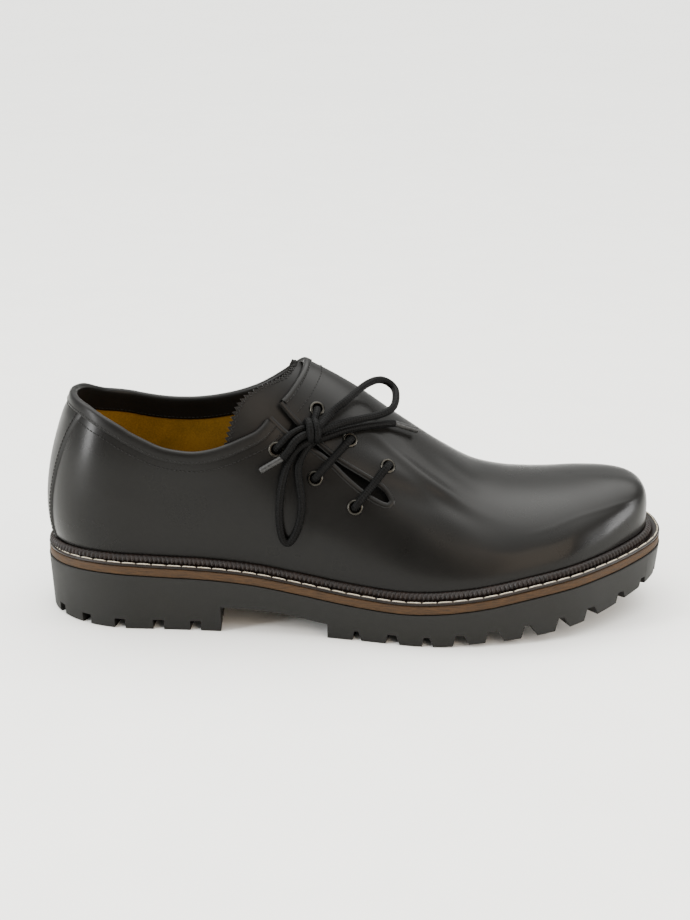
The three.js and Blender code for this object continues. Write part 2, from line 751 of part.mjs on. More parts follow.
// Groove across the middle lugs.
function crossGroove(at) {
  const x = heelBack + at * soleLength;
  const reachOuter = along(outlineRows, "outer", at) * ballWidth - centreLug - channelWidth / 2;
  const reachInner = along(outlineRows, "inner", at) * ballWidth - centreLug - channelWidth / 2;
  const base = treadHeight(x);
  const half = channelWidth / 2;
  const ring = (y) =>
    [
      [-half, -2],
      [-half, lugDepth * 0.8],
      [half, lugDepth * 0.8],
      [half, -2],
    ].map(([dx, z]) => new THREE.Vector3(x + dx, y, base + z));
  return sweepOf([ring(-reachOuter), ring(reachInner)]);
}

outsole = outsole.subtract(archVoid()).subtract(channel());
for (const groove of [...heelGrooves, ...foreGrooves]) {
  const k = stationAt(groove.at);
  outsole = outsole.subtract(grooveAt(k, groove.mouth, groove.roof));
  outsole = outsole.subtract(grooveAt(-k, groove.mouth, groove.roof));
}
for (const at of crossGrooves) outsole = outsole.subtract(crossGroove(at));

// Upper: outer and inner skin, then the opening, the slot and the eyelet holes.
const outerSkin = [];
const innerSkin = [];
for (let row = 0; row <= profileSteps; row++) {
  outerSkin.push(stations.map((k) => gridPoint(k, row, 0)));
  innerSkin.push(stations.map((k) => gridPoint(k, row, -wall)));
}
const shell = skinOfRings([...innerSkin.reverse(), ...outerSkin]);
let upper = solidOf(shell.points, shell.triangles);

const outerEdge = placesAlong(outerEdgeRows, 24);
const innerEdge = placesAlong(innerEdgeRows, 36);
const edge = [...outerEdge, ...innerEdge.slice(1)];
const pointOf = (place, off) =>
  lastPoint(place.k, place.up).addScaledVector(lastNormal(place.k, place.up), off);

function openingCutter() {
  const inside = edge.map((place) => pointOf(place, -9));
  const outside = edge.map((place) => pointOf(place, 6));
  const above = outside.map((p) => new THREE.Vector3(p.x, p.y, 3 * upperHeight));
  const plan = (ring) => capOfPlan(ring.map((p) => new THREE.Vector2(p.x, p.y)));
  const { points, triangles } = skinOfRings([inside, outside, above]);
  const count = edge.length;
  plan(inside).forEach(([a, b, c]) => triangles.push([a, c, b]));
  plan(above).forEach(([a, b, c]) => triangles.push([2 * count + a, 2 * count + b, 2 * count + c]));
  return outward(solidOf(points, triangles), points, triangles);
}

function slotCutter() {
  const low = slotRows.map((row) => ({ k: stationAt(row.at), up: row.low }));
  const high = slotRows.map((row) => ({ k: stationAt(row.at), up: row.high }));
  const loop = [...low, ...high.reverse()];
  const count = slotRows.length;
  const cap = [];
  for (let i = 0; i < count - 1; i++) {
    const mate = 2 * count - 1 - i;
    cap.push([i, i + 1, mate], [i + 1, mate - 1, mate]);
  }
  return prismOf(loop.map((place) => pointOf(place, -6)), loop.map((place) => pointOf(place, 6)), cap);
}

// Axes at a place on the upper: out of the leather, along it to the toe, and across.
function axesAt(place) {
  const out = lastNormal(place.k, place.up);
  const across = lastPoint(place.k, place.up + 0.01).sub(lastPoint(place.k, place.up));
  across.addScaledVector(out, -across.dot(out)).normalize();
  const forward = across.clone().cross(out).normalize();
  return { centre: lastPoint(place.k, place.up), out, across, forward };
}

// Ring of points round an axis, as rows of [radius, height].
function turned(axes, profile, sides) {
  const rings = profile.map(([radius, height]) =>
    Array.from({ length: sides }, (_, i) => {
      const turn = (i / sides) * 2 * Math.PI;
      const p = axes.centre.clone().addScaledVector(axes.out, height);
      p.addScaledVector(axes.forward, Math.cos(turn) * radius);
      return p.addScaledVector(axes.across, Math.sin(turn) * radius);
    }),
  );
  return rings;
}

const eyeletSides = 12;
const barrelRadius = eyeletHole / 2 + 0.6;
const eyeletPlaces = Object.fromEntries(
  eyeletRows.map((row) => [row.name, { k: stationAt(row.at), up: row.up }]),
);

function eyelet(place) {
  const axes = axesAt(place);
  const profile = [
    [eyeletHole / 2, -wall],
    [barrelRadius, -wall],
    [barrelRadius, 0.4],
    [eyeletDiameter / 2, 0.4],
    [eyeletDiameter / 2 - 0.5, 1.1],
    [eyeletHole / 2, 1.1],
  ];
  const { points, triangles } = skinOfRings(turned(axes, profile, eyeletSides), true, true);
  return outward(solidOf(points, triangles), points, triangles);
}

upper = upper.subtract(openingCutter()).subtract(slotCutter());
for (const row of eyeletRows) {
  const hole = [[barrelRadius + gap, -6], [barrelRadius + gap, 4]];
  upper = upper.subtract(sweepOf(turned(axesAt(eyeletPlaces[row.name]), hole, eyeletSides)));
}

// Binding: rolled over the edge of the opening, from the quarter's corner to the flap's corner.
function binding() {
  const sections = edge.map((place, i) => {
    const before = edge[Math.max(i - 1, 0)];
    const after = edge[Math.min(i + 1, edge.length - 1)];
    const run = lastPoint(after.k, after.up).sub(lastPoint(before.k, before.up)).normalize();
    const out = lastNormal(place.k, place.up);
    const down = out.clone().cross(run).normalize();
    const at = (depth, off) => {
      const moved = slide(place, down, depth);
      return facetPoint(moved.k, moved.up, off);
    };
    const rolled = (depth, off) => facetPoint(place.k, place.up, off).addScaledVector(down, depth);
    return [
      at(bandDepth, bandGap),
      at(bandDepth - 0.3, bandGap + bandThickness),
      rolled(0.2, bandGap + bandThickness + 0.3),
      rolled(-1.4, bandGap),
      rolled(-1.3, -wall),
      rolled(-bandGap, -wall),
      rolled(-bandGap, bandGap),
    ];
  });
  return sweepOf(sections);
}

// Strip up the back of the heel, between the welt's ridge and the binding.
const ridgeTop = weltThickness + stormHeight;

function upAtHeight(k, height) {
  let low = 0;
  let high = 0.9;
  for (let i = 0; i < 30; i++) {
    const middle = (low + high) / 2;
    if (facetPoint(k, middle, 0).z - seatHeight(facetPoint(k, 0, 0).x) < height) low = middle;
    else high = middle;
  }
  return (low + high) / 2;
}

// Station where the upper stands a distance to the outer side of the heel's middle line.
function stationAcross(distance, up) {
  let low = 0;
  let high = heelSteps;
  for (let i = 0; i < 30; i++) {
    const middle = (low + high) / 2;
    if (-lastPoint(middle, up).y < distance) low = middle;
    else high = middle;
  }
  return (low + high) / 2;
}

function backStrip() {
  const columns = [-1, -0.75, -0.5, -0.25, 0, 0.25, 0.5, 0.75, 1];
  const place = (column, up) => {
    const across = stationAcross(Math.abs(column) * along(stripRows, "half", up), up);
    return { k: Math.sign(column) * across, up };
  };
  const line = (upOf) => columns.map((column) => place(column, upOf(column)));
  const rows = [];
  rows.push(line(() => upAtHeight(0, ridgeTop + stripFoot)));
  for (let row = stripFirstRow; row <= stripLastRow; row++) rows.push(line(() => row / profileSteps));
  rows.push(line((column) => stripRows[stripRows.length - 1].at - stripDip * column ** 2));
  const face = (off) => rows.map((places) => places.map(({ k, up }) => skinPoint(k, up, off)));
  return sheetOf(face(gap), face(gap + stripThickness));
}

// A closed sheet between two grids of points of equal size.
function sheetOf(below, above) {
  const rows = below.length;
  const columns = below[0].length;
  const points = [...below.flat(), ...above.flat()];
  const id = (layer, j, i) => layer * rows * columns + j * columns + i;
  const triangles = [];
  for (let j = 0; j < rows - 1; j++) {
    for (let i = 0; i < columns - 1; i++) {
      const corners = [[j, i], [j, i + 1], [j + 1, i + 1], [j + 1, i]];
      const [a, b, c, d] = corners.map(([row, column]) => id(0, row, column));
      const [e, f, g, h] = corners.map(([row, column]) => id(1, row, column));
      triangles.push([a, c, b], [a, d, c], [e, f, g], [e, g, h]);
    }
  }
  const rim = [];
  for (let i = 0; i < columns - 1; i++) rim.push([0, i]);
  for (let j = 0; j < rows - 1; j++) rim.push([j, columns - 1]);
  for (let i = columns - 1; i > 0; i--) rim.push([rows - 1, i]);
  for (let j = rows - 1; j > 0; j--) rim.push([j, 0]);
  rim.forEach(([j, i], n) => {
    const [j2, i2] = rim[(n + 1) % rim.length];
    triangles.push([id(0, j, i), id(0, j2, i2), id(1, j2, i2)], [id(0, j, i), id(1, j2, i2), id(1, j, i)]);
  });
  return outward(solidOf(points, triangles), points, triangles);
}

// Tongue: a sheet inside the upper, with a pinked rear edge.
function tongue() {
  const columns = 2 * pinkingTeeth;
  const rows = 4;
  const face = (off) => {
    const lines = [];
    for (let j = 0; j <= rows; j++) {
      const line = [];
      for (let i = 0; i <= columns; i++) {
        const across = i / columns;
        const tooth = ((i % 2) * pinkingDepth) / soleLength;
        const rear = along(tongueRearRows, "place", across);
        const start = rear + (j === 0 ? tooth : 0.008);
        const at = THREE.MathUtils.lerp(start, tongueFront, j === 0 ? 0 : (j - 0.7) / (rows - 0.7));
        const low = along(tongueLowRows, "low", at);
        line.push(facetPoint(stationAt(at), THREE.MathUtils.lerp(low, tongueHigh, across), off));
      }
      lines.push(line);
    }
    return lines;
  };
  return sheetOf(face(-wall - tongueGap - tongueThickness), face(-wall - tongueGap));
}

// Welt: a flat strip round the shoe with a ridge that leans on the upper.
function welt() {
  const sections = stations.map((k) => {
    const { x, y } = insetPoint(k, 0.4);
    const edgeAt = (rise) => new THREE.Vector3(x, y, seatHeight(x) + rise);
    const lean = (height, off) => facetPoint(k, upAtHeight(k, height), off);
    const foot = lean(0, gap);
    return [
      edgeAt(0),
      edgeAt(weltThickness),
      lean(weltThickness, gap + stormThickness).setZ(seatHeight(foot.x) + weltThickness),
      lean(ridgeTop - 0.4, gap + stormThickness - 0.7),
      lean(ridgeTop, gap),
      foot,
    ];
  });
  const { points, triangles } = skinOfRings(sections, true, true);
  return outward(solidOf(points, triangles), points, triangles);
}

// Point over an eyelet: its height off the leather, and how far it lies towards another point.
function overEyelet(axes, target, height, shift) {
  const toward = target.clone().sub(axes.centre).projectOnPlane(axes.out).normalize();
  return axes.centre.clone().addScaledVector(axes.out, height).addScaledVector(toward, shift);
}

// Lace: crossings between the two lower pairs of eyelets.
function crossing(from, to) {
  const a = axesAt(from);
  const b = axesAt(to);
  const at = (axes, height, shift) => overEyelet(axes, axes === a ? b.centre : a.centre, height, shift);
  const middle = at(a, laceLift + 0.5, 0).lerp(at(b, laceLift + 0.5, 0), 0.5);
  const points = [
    at(a, -0.8, 0),
    at(a, 1.5, -0.2),
    at(a, laceLift, 1),
    at(a, laceLift + 0.4, 3),
    middle,
    at(b, laceLift + 0.4, 3),
    at(b, laceLift, 1),
    at(b, 1.5, -0.2),
    at(b, -0.8, 0),
  ];
  return roundBar(points, laceDiameter, 12, 6);
}

const runPoints = (rows) =>
  rows.map((row) => {
    const k = stationAt(row.at);
    return lastPoint(k, row.up).addScaledVector(lastNormal(k, row.up), row.lift);
  });

// Knot: a rounded body and the two short runs from the top eyelets to it.
function knot() {
  const axes = axesAt({ k: stationAt(knotPlace.at), up: knotPlace.up });
  const ball = new THREE.SphereGeometry(1, 9, 6);
  const basis = new THREE.Matrix4().makeBasis(axes.forward, axes.across, axes.out);
  const size = new THREE.Matrix4().makeScale(knotSize.along, knotSize.across, knotSize.high);
  const centre = axes.centre.clone().addScaledVector(axes.out, knotPlace.lift);
  ball.applyMatrix4(basis.multiply(size)).translate(centre.x, centre.y, centre.z);
  let body = solidOfGeometry(ball);
  for (const name of ["vamp_1", "quarter_1"]) {
    const eye = axesAt(eyeletPlaces[name]);
    const at = (height, shift) => overEyelet(eye, centre, height, shift);
    const run = [at(-0.8, 0), at(1.5, -0.2), at(laceLift, 1), at(laceLift + 0.4, 3), centre.clone()];
    body = body.add(roundBar(run, laceDiameter, 7, 6));
  }
  return body;
}

function meshOf(solid, name, colour, roughness, metalness = 0) {
  const { vertProperties, triVerts, numProp } = solid.getMesh();
  const positions = [];
  for (let i = 0; i < vertProperties.length; i += numProp) positions.push(...vertProperties.slice(i, i + 3));
  const geometry = new THREE.BufferGeometry();
  geometry.setAttribute("position", new THREE.Float32BufferAttribute(positions, 3));
  geometry.setIndex(Array.from(triVerts));
  geometry.computeVertexNormals();
  const material = new THREE.MeshStandardMaterial({ color: colour, roughness, metalness });
  const mesh = new THREE.Mesh(geometry, material);
  mesh.name = name;
  return mesh;
}

const leather = 0x2b2b28;
const cord = 0x1f1f20;
const shoe = new THREE.Group();
shoe.add(meshOf(outsole, "outsole", 0x343432, 0.75));
shoe.add(meshOf(midsole, "midsole", 0x7a5a3a, 0.7));
shoe.add(meshOf(insole, "insole", 0xa06a1a, 0.7));
shoe.add(meshOf(welt(), "welt", 0x2a1a14, 0.55));
shoe.add(meshOf(upper, "upper", leather, 0.4));
shoe.add(meshOf(tongue(), "tongue", leather, 0.45));
shoe.add(meshOf(binding(), "collar_binding", leather, 0.45));
shoe.add(meshOf(backStrip(), "back_strip", leather, 0.4));
for (const row of eyeletRows) {
  shoe.add(meshOf(eyelet(eyeletPlaces[row.name]), `eyelet_${row.name}`, 0x3a3a3c, 0.35, 1));
}
shoe.add(meshOf(crossing(eyeletPlaces.vamp_2, eyeletPlaces.quarter_2), "lace_bar_1", cord, 0.6));
shoe.add(meshOf(crossing(eyeletPlaces.vamp_3, eyeletPlaces.quarter_3), "lace_bar_2", cord, 0.6));
shoe.add(meshOf(knot(), "lace_knot", cord, 0.6));
for (const [name, rows] of Object.entries(laceRuns)) {
  const steps = name.includes("loop") ? 18 : 5;
  shoe.add(meshOf(roundBar(runPoints(rows), laceDiameter, steps, 6), name, cord, 0.6));
}
for (const [name, rows] of Object.entries(agletRuns)) {
  shoe.add(meshOf(roundBar(runPoints(rows), agletDiameter, 1, 8), name, 0x808080, 0.3, 1));
}

// Origin: on the floor, under the middle of the box of everything but the loose lace.
const loose = ["lace_knot", ...Object.keys(laceRuns), ...Object.keys(agletRuns)];
const box = new THREE.Box3();
for (const mesh of shoe.children) {
  if (!loose.includes(mesh.name)) box.expandByObject(mesh);
}
const middle = box.getCenter(new THREE.Vector3());
for (const mesh of shoe.children) mesh.geometry.translate(-middle.x, -middle.y, -box.min.z);

export default shoe;
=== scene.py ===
# %% [markdown]
# # A haferl shoe for the right foot
# A haferl shoe is a low alpine shoe. This one is cut from smooth black leather, laces on its outer
# side and stands on a lugged rubber sole with a stitched welt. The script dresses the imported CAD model:
# each plain solid is replaced by a finer piece of the same form, and each piece gets its finish.
# Lengths are worked out in millimetres and become metres where a mesh is made.

import bmesh
import bpy
import numpy as np
from mathutils import Matrix, Vector
from mathutils.geometry import delaunay_2d_cdt


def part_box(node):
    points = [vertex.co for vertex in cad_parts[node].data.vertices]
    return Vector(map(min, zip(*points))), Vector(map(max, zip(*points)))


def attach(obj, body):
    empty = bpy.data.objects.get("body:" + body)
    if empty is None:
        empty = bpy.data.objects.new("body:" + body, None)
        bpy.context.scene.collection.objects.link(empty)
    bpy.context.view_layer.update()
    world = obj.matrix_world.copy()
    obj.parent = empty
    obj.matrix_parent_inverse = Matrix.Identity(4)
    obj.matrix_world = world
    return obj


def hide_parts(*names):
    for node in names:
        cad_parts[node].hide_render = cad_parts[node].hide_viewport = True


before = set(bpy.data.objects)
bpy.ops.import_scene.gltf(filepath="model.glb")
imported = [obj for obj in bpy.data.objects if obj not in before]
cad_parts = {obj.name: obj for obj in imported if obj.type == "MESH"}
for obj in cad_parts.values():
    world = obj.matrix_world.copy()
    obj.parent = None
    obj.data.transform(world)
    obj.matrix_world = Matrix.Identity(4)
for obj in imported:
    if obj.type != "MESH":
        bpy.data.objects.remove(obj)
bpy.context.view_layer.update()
metre = 0.001

# %% [markdown]
# ## The last
# Upper and sole follow one wooden form, the last. Its plan outline is walked by a station number, 0 at
# the back of the heel, 30 at the tip of the toe, and back along the inner side to 60. Each station holds
# half a section, whose place is called up: 0 at the sole's edge on the outer side, 1 on the ridge of the
# foot, 2 at the sole's edge on the inner side. Every piece below follows this one form, and the tables
# hold the same shares as the CAD model does.

# %% Driving sizes of the shoe
sole_length = 300.0
ball_width = 113.0
heel_height = 27.0
fore_thickness = 13.5
midsole_thickness = 4.2
welt_thickness = 1.2
welt_reach = 6.5
storm_height = 3.4
storm_thickness = 2.6
upper_height = 96.0
wall = 2.4
gap = 0.3
insole_thickness = 2.5
tongue_thickness = 1.6
tongue_gap = 0.6
lug_depth = 5.0
sole_taper = 1.9
strip_thickness = 0.9
eyelet_diameter = 7.4
eyelet_hole = 4.6
lace_diameter = 3.6
lace_lift = 3.1
aglet_diameter = 2.9
stations_heel, stations_middle, stations_toe = 6, 16, 8
toe_station = stations_heel + stations_middle + stations_toe
ring_stations = 2 * toe_station
rise_scale = 12.0
heel_round, heel_squareness = 44.0, 1.9
toe_round, toe_squareness, toe_drift = 62.0, 2.45, 2.0
heel_back, toe_tip = -sole_length / 2, sole_length / 2
heel_fan, toe_fan = 34.0, 40.0
heel_centre = heel_back + welt_reach + heel_fan
toe_centre = toe_tip - welt_reach - toe_fan


def columns(names, *rows):
    """A table kept by columns: each name gets the array of its values."""
    return dict(zip(names.split(), np.array(rows, float).T))


# %% Tables of the outline, the sole's heights and the half sections
outline_rows = columns(
    "at outer inner welt",
    (0.00, 0.335, 0.331, 0.75),
    (0.14, 0.342, 0.336, 0.95),
    (0.28, 0.370, 0.315, 1.00),
    (0.40, 0.407, 0.300, 1.00),
    (0.50, 0.465, 0.328, 1.00),
    (0.60, 0.526, 0.394, 1.00),
    (0.68, 0.533, 0.438, 1.00),
    (0.76, 0.504, 0.465, 1.00),
    (0.84, 0.442, 0.469, 1.00),
    (0.90, 0.376, 0.456, 1.02),
    (0.95, 0.327, 0.438, 1.10),
    (1.00, 0.301, 0.416, 1.20),
)
sole_rows = columns(
    "at deck tread",
    (0.00, 1.000, 0.000),
    (0.10, 1.050, 0.000),
    (0.20, 1.012, 0.000),
    (0.27, 0.985, 0.000),
    (0.34, 0.915, 0.000),
    (0.41, 0.790, 0.000),
    (0.49, 0.663, 0.000),
    (0.56, 0.606, 0.000),
    (0.62, 0.630, 0.000),
    (0.69, 0.711, 0.125),
    (0.77, 0.857, 0.240),
    (0.85, 0.971, 0.460),
    (0.92, 1.066, 0.830),
    (1.00, 1.220, 1.380),
)
section_rows = columns(
    "at ridge shift lean foot full lean_in foot_in full_in",
    (0.000, 1.192, 0.000, 16, 0.34, 0.22, 16, 0.34, 0.22),
    (0.140, 1.195, 0.000, 9, 0.38, 0.70, 9, 0.38, 0.70),
    (0.300, 1.122, 0.010, 8, 0.40, 0.70, 6, 0.44, 0.70),
    (0.427, 0.996, 0.044, 5, 0.42, 0.55, 3, 0.50, 0.60),
    (0.500, 0.897, 0.049, 4, 0.42, 0.50, 3, 0.52, 0.55),
    (0.573, 0.745, 0.054, 4, 0.42, 0.50, 3, 0.54, 0.55),
    (0.640, 0.587, 0.058, 4, 0.44, 0.54, 3, 0.56, 0.60),
    (0.700, 0.460, 0.060, 4, 0.48, 0.60, 3, 0.58, 0.65),
    (0.760, 0.378, 0.058, 4, 0.52, 0.68, 3, 0.60, 0.75),
    (0.845, 0.339, 0.054, 4, 0.52, 0.75, 4, 0.56, 0.80),
    (0.920, 0.345, 0.054, 1.5, 0.56, 0.99, 1.5, 0.60, 1.00),
    (1.000, 0.347, 0.054, 0.9, 1.00, 1.11, 0.9, 1.00, 1.11),
)
print("tables:", len(outline_rows["at"]), len(sole_rows["at"]), len(section_rows["at"]), "rows")


# %% Reading the tables and walking the outline
def curve_value(xs, ys, x):
    """Smooth curve through the points (xs, ys), read at x."""
    x = np.clip(x, xs[0], xs[-1])
    order = np.arange(len(xs))
    before, after = np.maximum(order - 1, 0), np.minimum(order + 1, len(xs) - 1)
    slope = (ys[after] - ys[before]) / (xs[after] - xs[before])
    i = np.clip(np.searchsorted(xs, x, side="right") - 1, 0, len(xs) - 2)
    span = xs[i + 1] - xs[i]
    t = (x - xs[i]) / span
    start = (2 * t**3 - 3 * t**2 + 1) * ys[i] + (t**3 - 2 * t**2 + t) * span * slope[i]
    return start + (3 * t**2 - 2 * t**3) * ys[i + 1] + (t**3 - t**2) * span * slope[i + 1]


def along(rows, name, at):
    return curve_value(rows["at"], rows[name], at)


def share(x):
    return (x - heel_back) / sole_length


def reach(k):
    """Distance along the shoe at a station, how far the outline has opened, and its tip's drift."""
    k = np.mod(np.asarray(k, float), ring_stations)
    half = np.minimum(k, ring_stations - k)
    heel_turn = np.clip(half / stations_heel, 0, 1) * np.pi / 2
    toe_turn = np.clip((toe_station - half) / stations_toe, 0, 1) * np.pi / 2
    heel_power, toe_power = 2 / heel_squareness, 2 / toe_squareness
    heel_x = heel_back + heel_round * (1 - np.abs(np.cos(heel_turn)) ** heel_power)
    toe_x = toe_tip - toe_round * (1 - np.abs(np.cos(toe_turn)) ** toe_power)
    t = (half - stations_heel) / stations_middle
    middle_x = (heel_back + heel_round) * (1 - t) + (toe_tip - toe_round) * t
    at_heel, at_toe = half < stations_heel, half > stations_heel + stations_middle
    x = np.where(at_heel, heel_x, np.where(at_toe, toe_x, middle_x))
    heel_open, toe_open = np.sin(heel_turn) ** heel_power, np.sin(toe_turn) ** toe_power
    opened = np.where(at_heel, heel_open, np.where(at_toe, toe_open, 1.0))
    return x, opened, np.where(at_toe, toe_drift, 0.0)


def is_outer(k):
    return np.mod(k, ring_stations) <= toe_station


def by_side(k, rows, outer_name, inner_name, at):
    """A table's value from the column of the side that the station is on."""
    return np.where(is_outer(k), along(rows, outer_name, at), along(rows, inner_name, at))


def outline(k):
    x, opened, tip = reach(k)
    side = np.where(is_outer(k), -1, 1)
    width = side * by_side(k, outline_rows, "outer", "inner", share(x)) * ball_width
    return np.stack([x, tip * (1 - opened) + width * opened], -1)


def inset(k, distance):
    """The outline moved square to itself, into the shoe."""
    step = 0.02
    run = outline(k + step) - outline(k - step)
    inward = np.stack([-run[..., 1], run[..., 0]], -1)
    inward /= np.linalg.norm(inward, axis=-1, keepdims=True)
    return outline(k) + inward * np.asarray(distance)[..., None]


def deck(x):
    return along(sole_rows, "deck", share(x)) * heel_height


def tread(x):
    return np.maximum(along(sole_rows, "tread", share(x)) * fore_thickness, 0)


def seat(x):
    return deck(x) + midsole_thickness + gap


def welt_inset(k):
    return welt_reach * along(outline_rows, "welt", share(reach(k)[0]))


def ridge(x):
    """Top of the last over a place along the shoe."""
    s = share(x)
    height = seat(x) + along(section_rows, "ridge", s) * upper_height
    return np.stack([x, along(section_rows, "shift", s) * ball_width, height], -1)


def ridge_slope(x):
    return ridge(x + 0.5)[..., 2] - ridge(x - 0.5)[..., 2]


cad_stations = np.arange(ring_stations, dtype=float)
drawn = outline(cad_stations)
sole_low, sole_high = (np.array(corner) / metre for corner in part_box("outsole"))
shift = np.array([0.0, (sole_low[1] + sole_high[1] - drawn[:, 1].min() - drawn[:, 1].max()) / 2, 0.0])
print("sole drawn", np.ptp(drawn, axis=0).round(2), "CAD", (sole_high - sole_low)[:2].round(2))


# %% The last's surface
def last(k, up):
    """Points of the last at stations k and places up."""
    k, up = np.broadcast_arrays(np.asarray(k, float), np.asarray(up, float))
    over = up > 1
    k, up = np.where(over, -k, k), np.where(over, 2 - up, up)
    x = reach(k)[0]
    s = share(x)
    foot = inset(k, welt_inset(k))
    foot_z = seat(foot[..., 0])
    top_x = np.clip(x, heel_centre, toe_centre)
    top = ridge(top_x)
    lean, wall_share, top_share = (
        by_side(k, section_rows, name, name + "_in", s) for name in ("lean", "foot", "full"))
    out = foot - top[..., :2]
    radius = np.linalg.norm(out, axis=-1)
    out = out / radius[..., None]
    rise = top[..., 2] - foot_z
    near, far = 3 * up * (1 - up) ** 2, 3 * up**2 * (1 - up)
    r = (1 - up) ** 3 * radius + near * (radius + lean) + far * radius * top_share
    z = near * wall_share * rise + far * (rise + ridge_slope(top_x) * out[..., 0] * radius * top_share)
    return np.concatenate([top[..., :2] + out * r[..., None], (foot_z + z + up**3 * rise)[..., None]], -1)


def unit(vectors):
    return vectors / np.linalg.norm(vectors, axis=-1, keepdims=True)


def halving(low, high, is_below):
    """Where a rising measure meets its target, by halving the span between low and high."""
    for _ in range(24):
        middle = (low + high) / 2
        below = is_below(middle)
        low, high = np.where(below, middle, low), np.where(below, high, middle)
    return (low + high) / 2


def line_length(points):
    """Length along a line of points up to each of them."""
    return np.r_[0, np.cumsum(np.linalg.norm(np.diff(points, axis=0), axis=1))]


def full_turn(count):
    """Even angles of a full turn."""
    return np.linspace(0, 2 * np.pi, count, endpoint=False)


def normal(k, up):
    """Direction out of the last."""
    k, up = np.broadcast_arrays(np.asarray(k, float), np.asarray(up, float))
    dk, du = 0.05, 0.004
    ring_way = last(k + dk, up) - last(k - dk, up)
    wall_way = last(k, up + du) - last(k, np.maximum(up - du, 0))
    out = np.cross(ring_way, wall_way)
    x, opened, _ = reach(k)
    slope = ridge_slope(np.clip(x, heel_centre, toe_centre))
    ridge_out = np.stack([-slope, np.zeros_like(slope), np.ones_like(slope)], -1)
    on_pole = (np.abs(up - 1) < 0.001) & (np.abs(opened - 1) > 1e-6)
    return unit(np.where(on_pole[..., None], ridge_out, out))


# %% [markdown]
# ## Soft creases
# New leather that was pulled over a last is smooth, but it gives where it is laced: it puckers in front
# of the slot, is drawn in beside the eyelets and lifts a little along the flap. Each crease is one row:
# a long soft bump with its place, its half length and half width in millimetres, its turn and its
# height, negative for a trough. The edge of the stiff toe cap shows as one fine line along the toe.

# %% Creases, one row each
crease_rows = columns(
    "at up long wide turn high",
    (0.600, 0.600, 20, 6, 12, 0.9),
    (0.590, 0.500, 16, 6, 5, -0.7),
    (0.520, 0.640, 14, 5, 25, -0.5),
    (0.455, 0.330, 18, 7, 35, -0.5),
    (0.640, 0.780, 16, 7, -20, -0.5),
    (0.660, 0.420, 22, 8, -35, 0.5),
    (0.700, 1.000, 8, 26, 0, -0.35),
    (0.730, 1.050, 7, 26, 0, 0.3),
    (0.470, 1.560, 20, 8, 30, -0.6),
    (0.560, 1.480, 20, 8, 40, 0.6),
    (0.620, 1.600, 20, 7, 60, -0.6),
    (0.600, 0.640, 24, 4, -18, 0.9),
    (0.585, 0.700, 20, 4.5, -12, -0.3),
    (0.610, 0.575, 20, 4, -22, -0.4),
    (0.125, 0.215, 14, 4, 0, 0.35),
    (0.230, 0.250, 26, 8, 10, -0.5),
    (0.250, 1.750, 26, 8, -10, -0.5),
)
girth_per_up = 118.0
toe_line_rows = columns(
    "at up", (0.740, 0.400), (0.782, 0.444), (0.803, 0.459), (0.840, 0.511), (0.888, 0.544), (0.932, 0.530),
    (0.972, 0.451), (1.000, 0.390),
)
toe_line_high, toe_line_wide = 0.16, 1.6


def crease(k, up):
    """Height of the creases over the last."""
    at = share(reach(k)[0])
    high = np.zeros(np.broadcast(at, up).shape)
    for at0, up0, long, wide, turn, rise in np.array(list(crease_rows.values())).T:
        a, b = (at - at0) * sole_length, (up - up0) * girth_per_up
        c, s = np.cos(np.radians(turn)), np.sin(np.radians(turn))
        high = high + rise * np.exp(-(((a * c + b * s) / long) ** 2) - ((b * c - a * s) / wide) ** 2)
    beside_line = (up - along(toe_line_rows, "up", at)) * girth_per_up / toe_line_wide
    on_line = np.clip((at - 0.76) / 0.05, 0, 1) * np.clip((0.99 - at) / 0.03, 0, 1)
    return high + toe_line_high * on_line * np.exp(-(beside_line**2))


def skin(k, up, off=0.0):
    """Points of the leather's outside, or a distance off it."""
    return last(k, up) + normal(k, up) * (crease(k, up) + off)[..., None]


# %% Places on the last
fine_stations = np.linspace(0, toe_station, 3001)


def station_at(at):
    return np.interp(heel_back + np.asarray(at) * sole_length, reach(fine_stations)[0], fine_stations)


def smooth_line(points, step):
    """Evenly spaced points on a smooth line through the given ones."""
    points = np.array(points, float)
    chord = line_length(points)
    fine = np.linspace(0, chord[-1], 40 * len(points))
    line = np.stack([curve_value(chord, column, fine) for column in points.T], -1)
    length = line_length(line)
    even = np.linspace(0, length[-1], max(int(round(length[-1] / step)), 1) + 1)
    return np.stack([np.interp(even, length, column) for column in line.T], -1)


def slide(k, up, way, distance, steps=4):
    """Places moved over the last by a distance, in a direction given for each."""
    step = 0.01
    for _ in range(steps):
        a = (last(k + step, up) - last(k - step, up)) / (2 * step)
        b = (last(k, up + step) - last(k, up - step)) / (2 * step)
        out = unit(np.cross(a, b))
        flat = unit(way - out * np.sum(way * out, -1, keepdims=True))
        aa, bb, ab = np.sum(a * a, -1), np.sum(b * b, -1), np.sum(a * b, -1)
        ad, bd = (np.sum(side * flat, -1) * distance / steps for side in (a, b))
        det = aa * bb - ab * ab
        k, up = k + (ad * bb - bd * ab) / det, up + (bd * aa - ad * ab) / det
    return k, up


def axes_at(at, up):
    """Middle, outward, across and forward axes of a place on the leather."""
    k = station_at(at)
    out = normal(k, up)
    across = last(k, up + 0.01) - last(k, up - 0.01)
    across = unit(across - out * np.dot(across, out))
    return skin(k, up), out, across, np.cross(across, out)


def pattern(at, up):
    """A place in the flat pattern: stations one way, rise the other, both near 11 mm a unit."""
    return np.stack([station_at(at), np.asarray(up) * rise_scale], -1)


print("foot and ridge at the ball:", *[last(station_at(0.68), up).round(1) for up in (0.0, 1.0)])

# %% [markdown]
# ## The camera
# The picture was taken a little above the shoe, square to its outer side. The focal length and the
# angles were worked out from the sole's known size, and the lens follows from the focal length in
# pixels, because the sensor's 36 mm are as long as the picture's taller side.

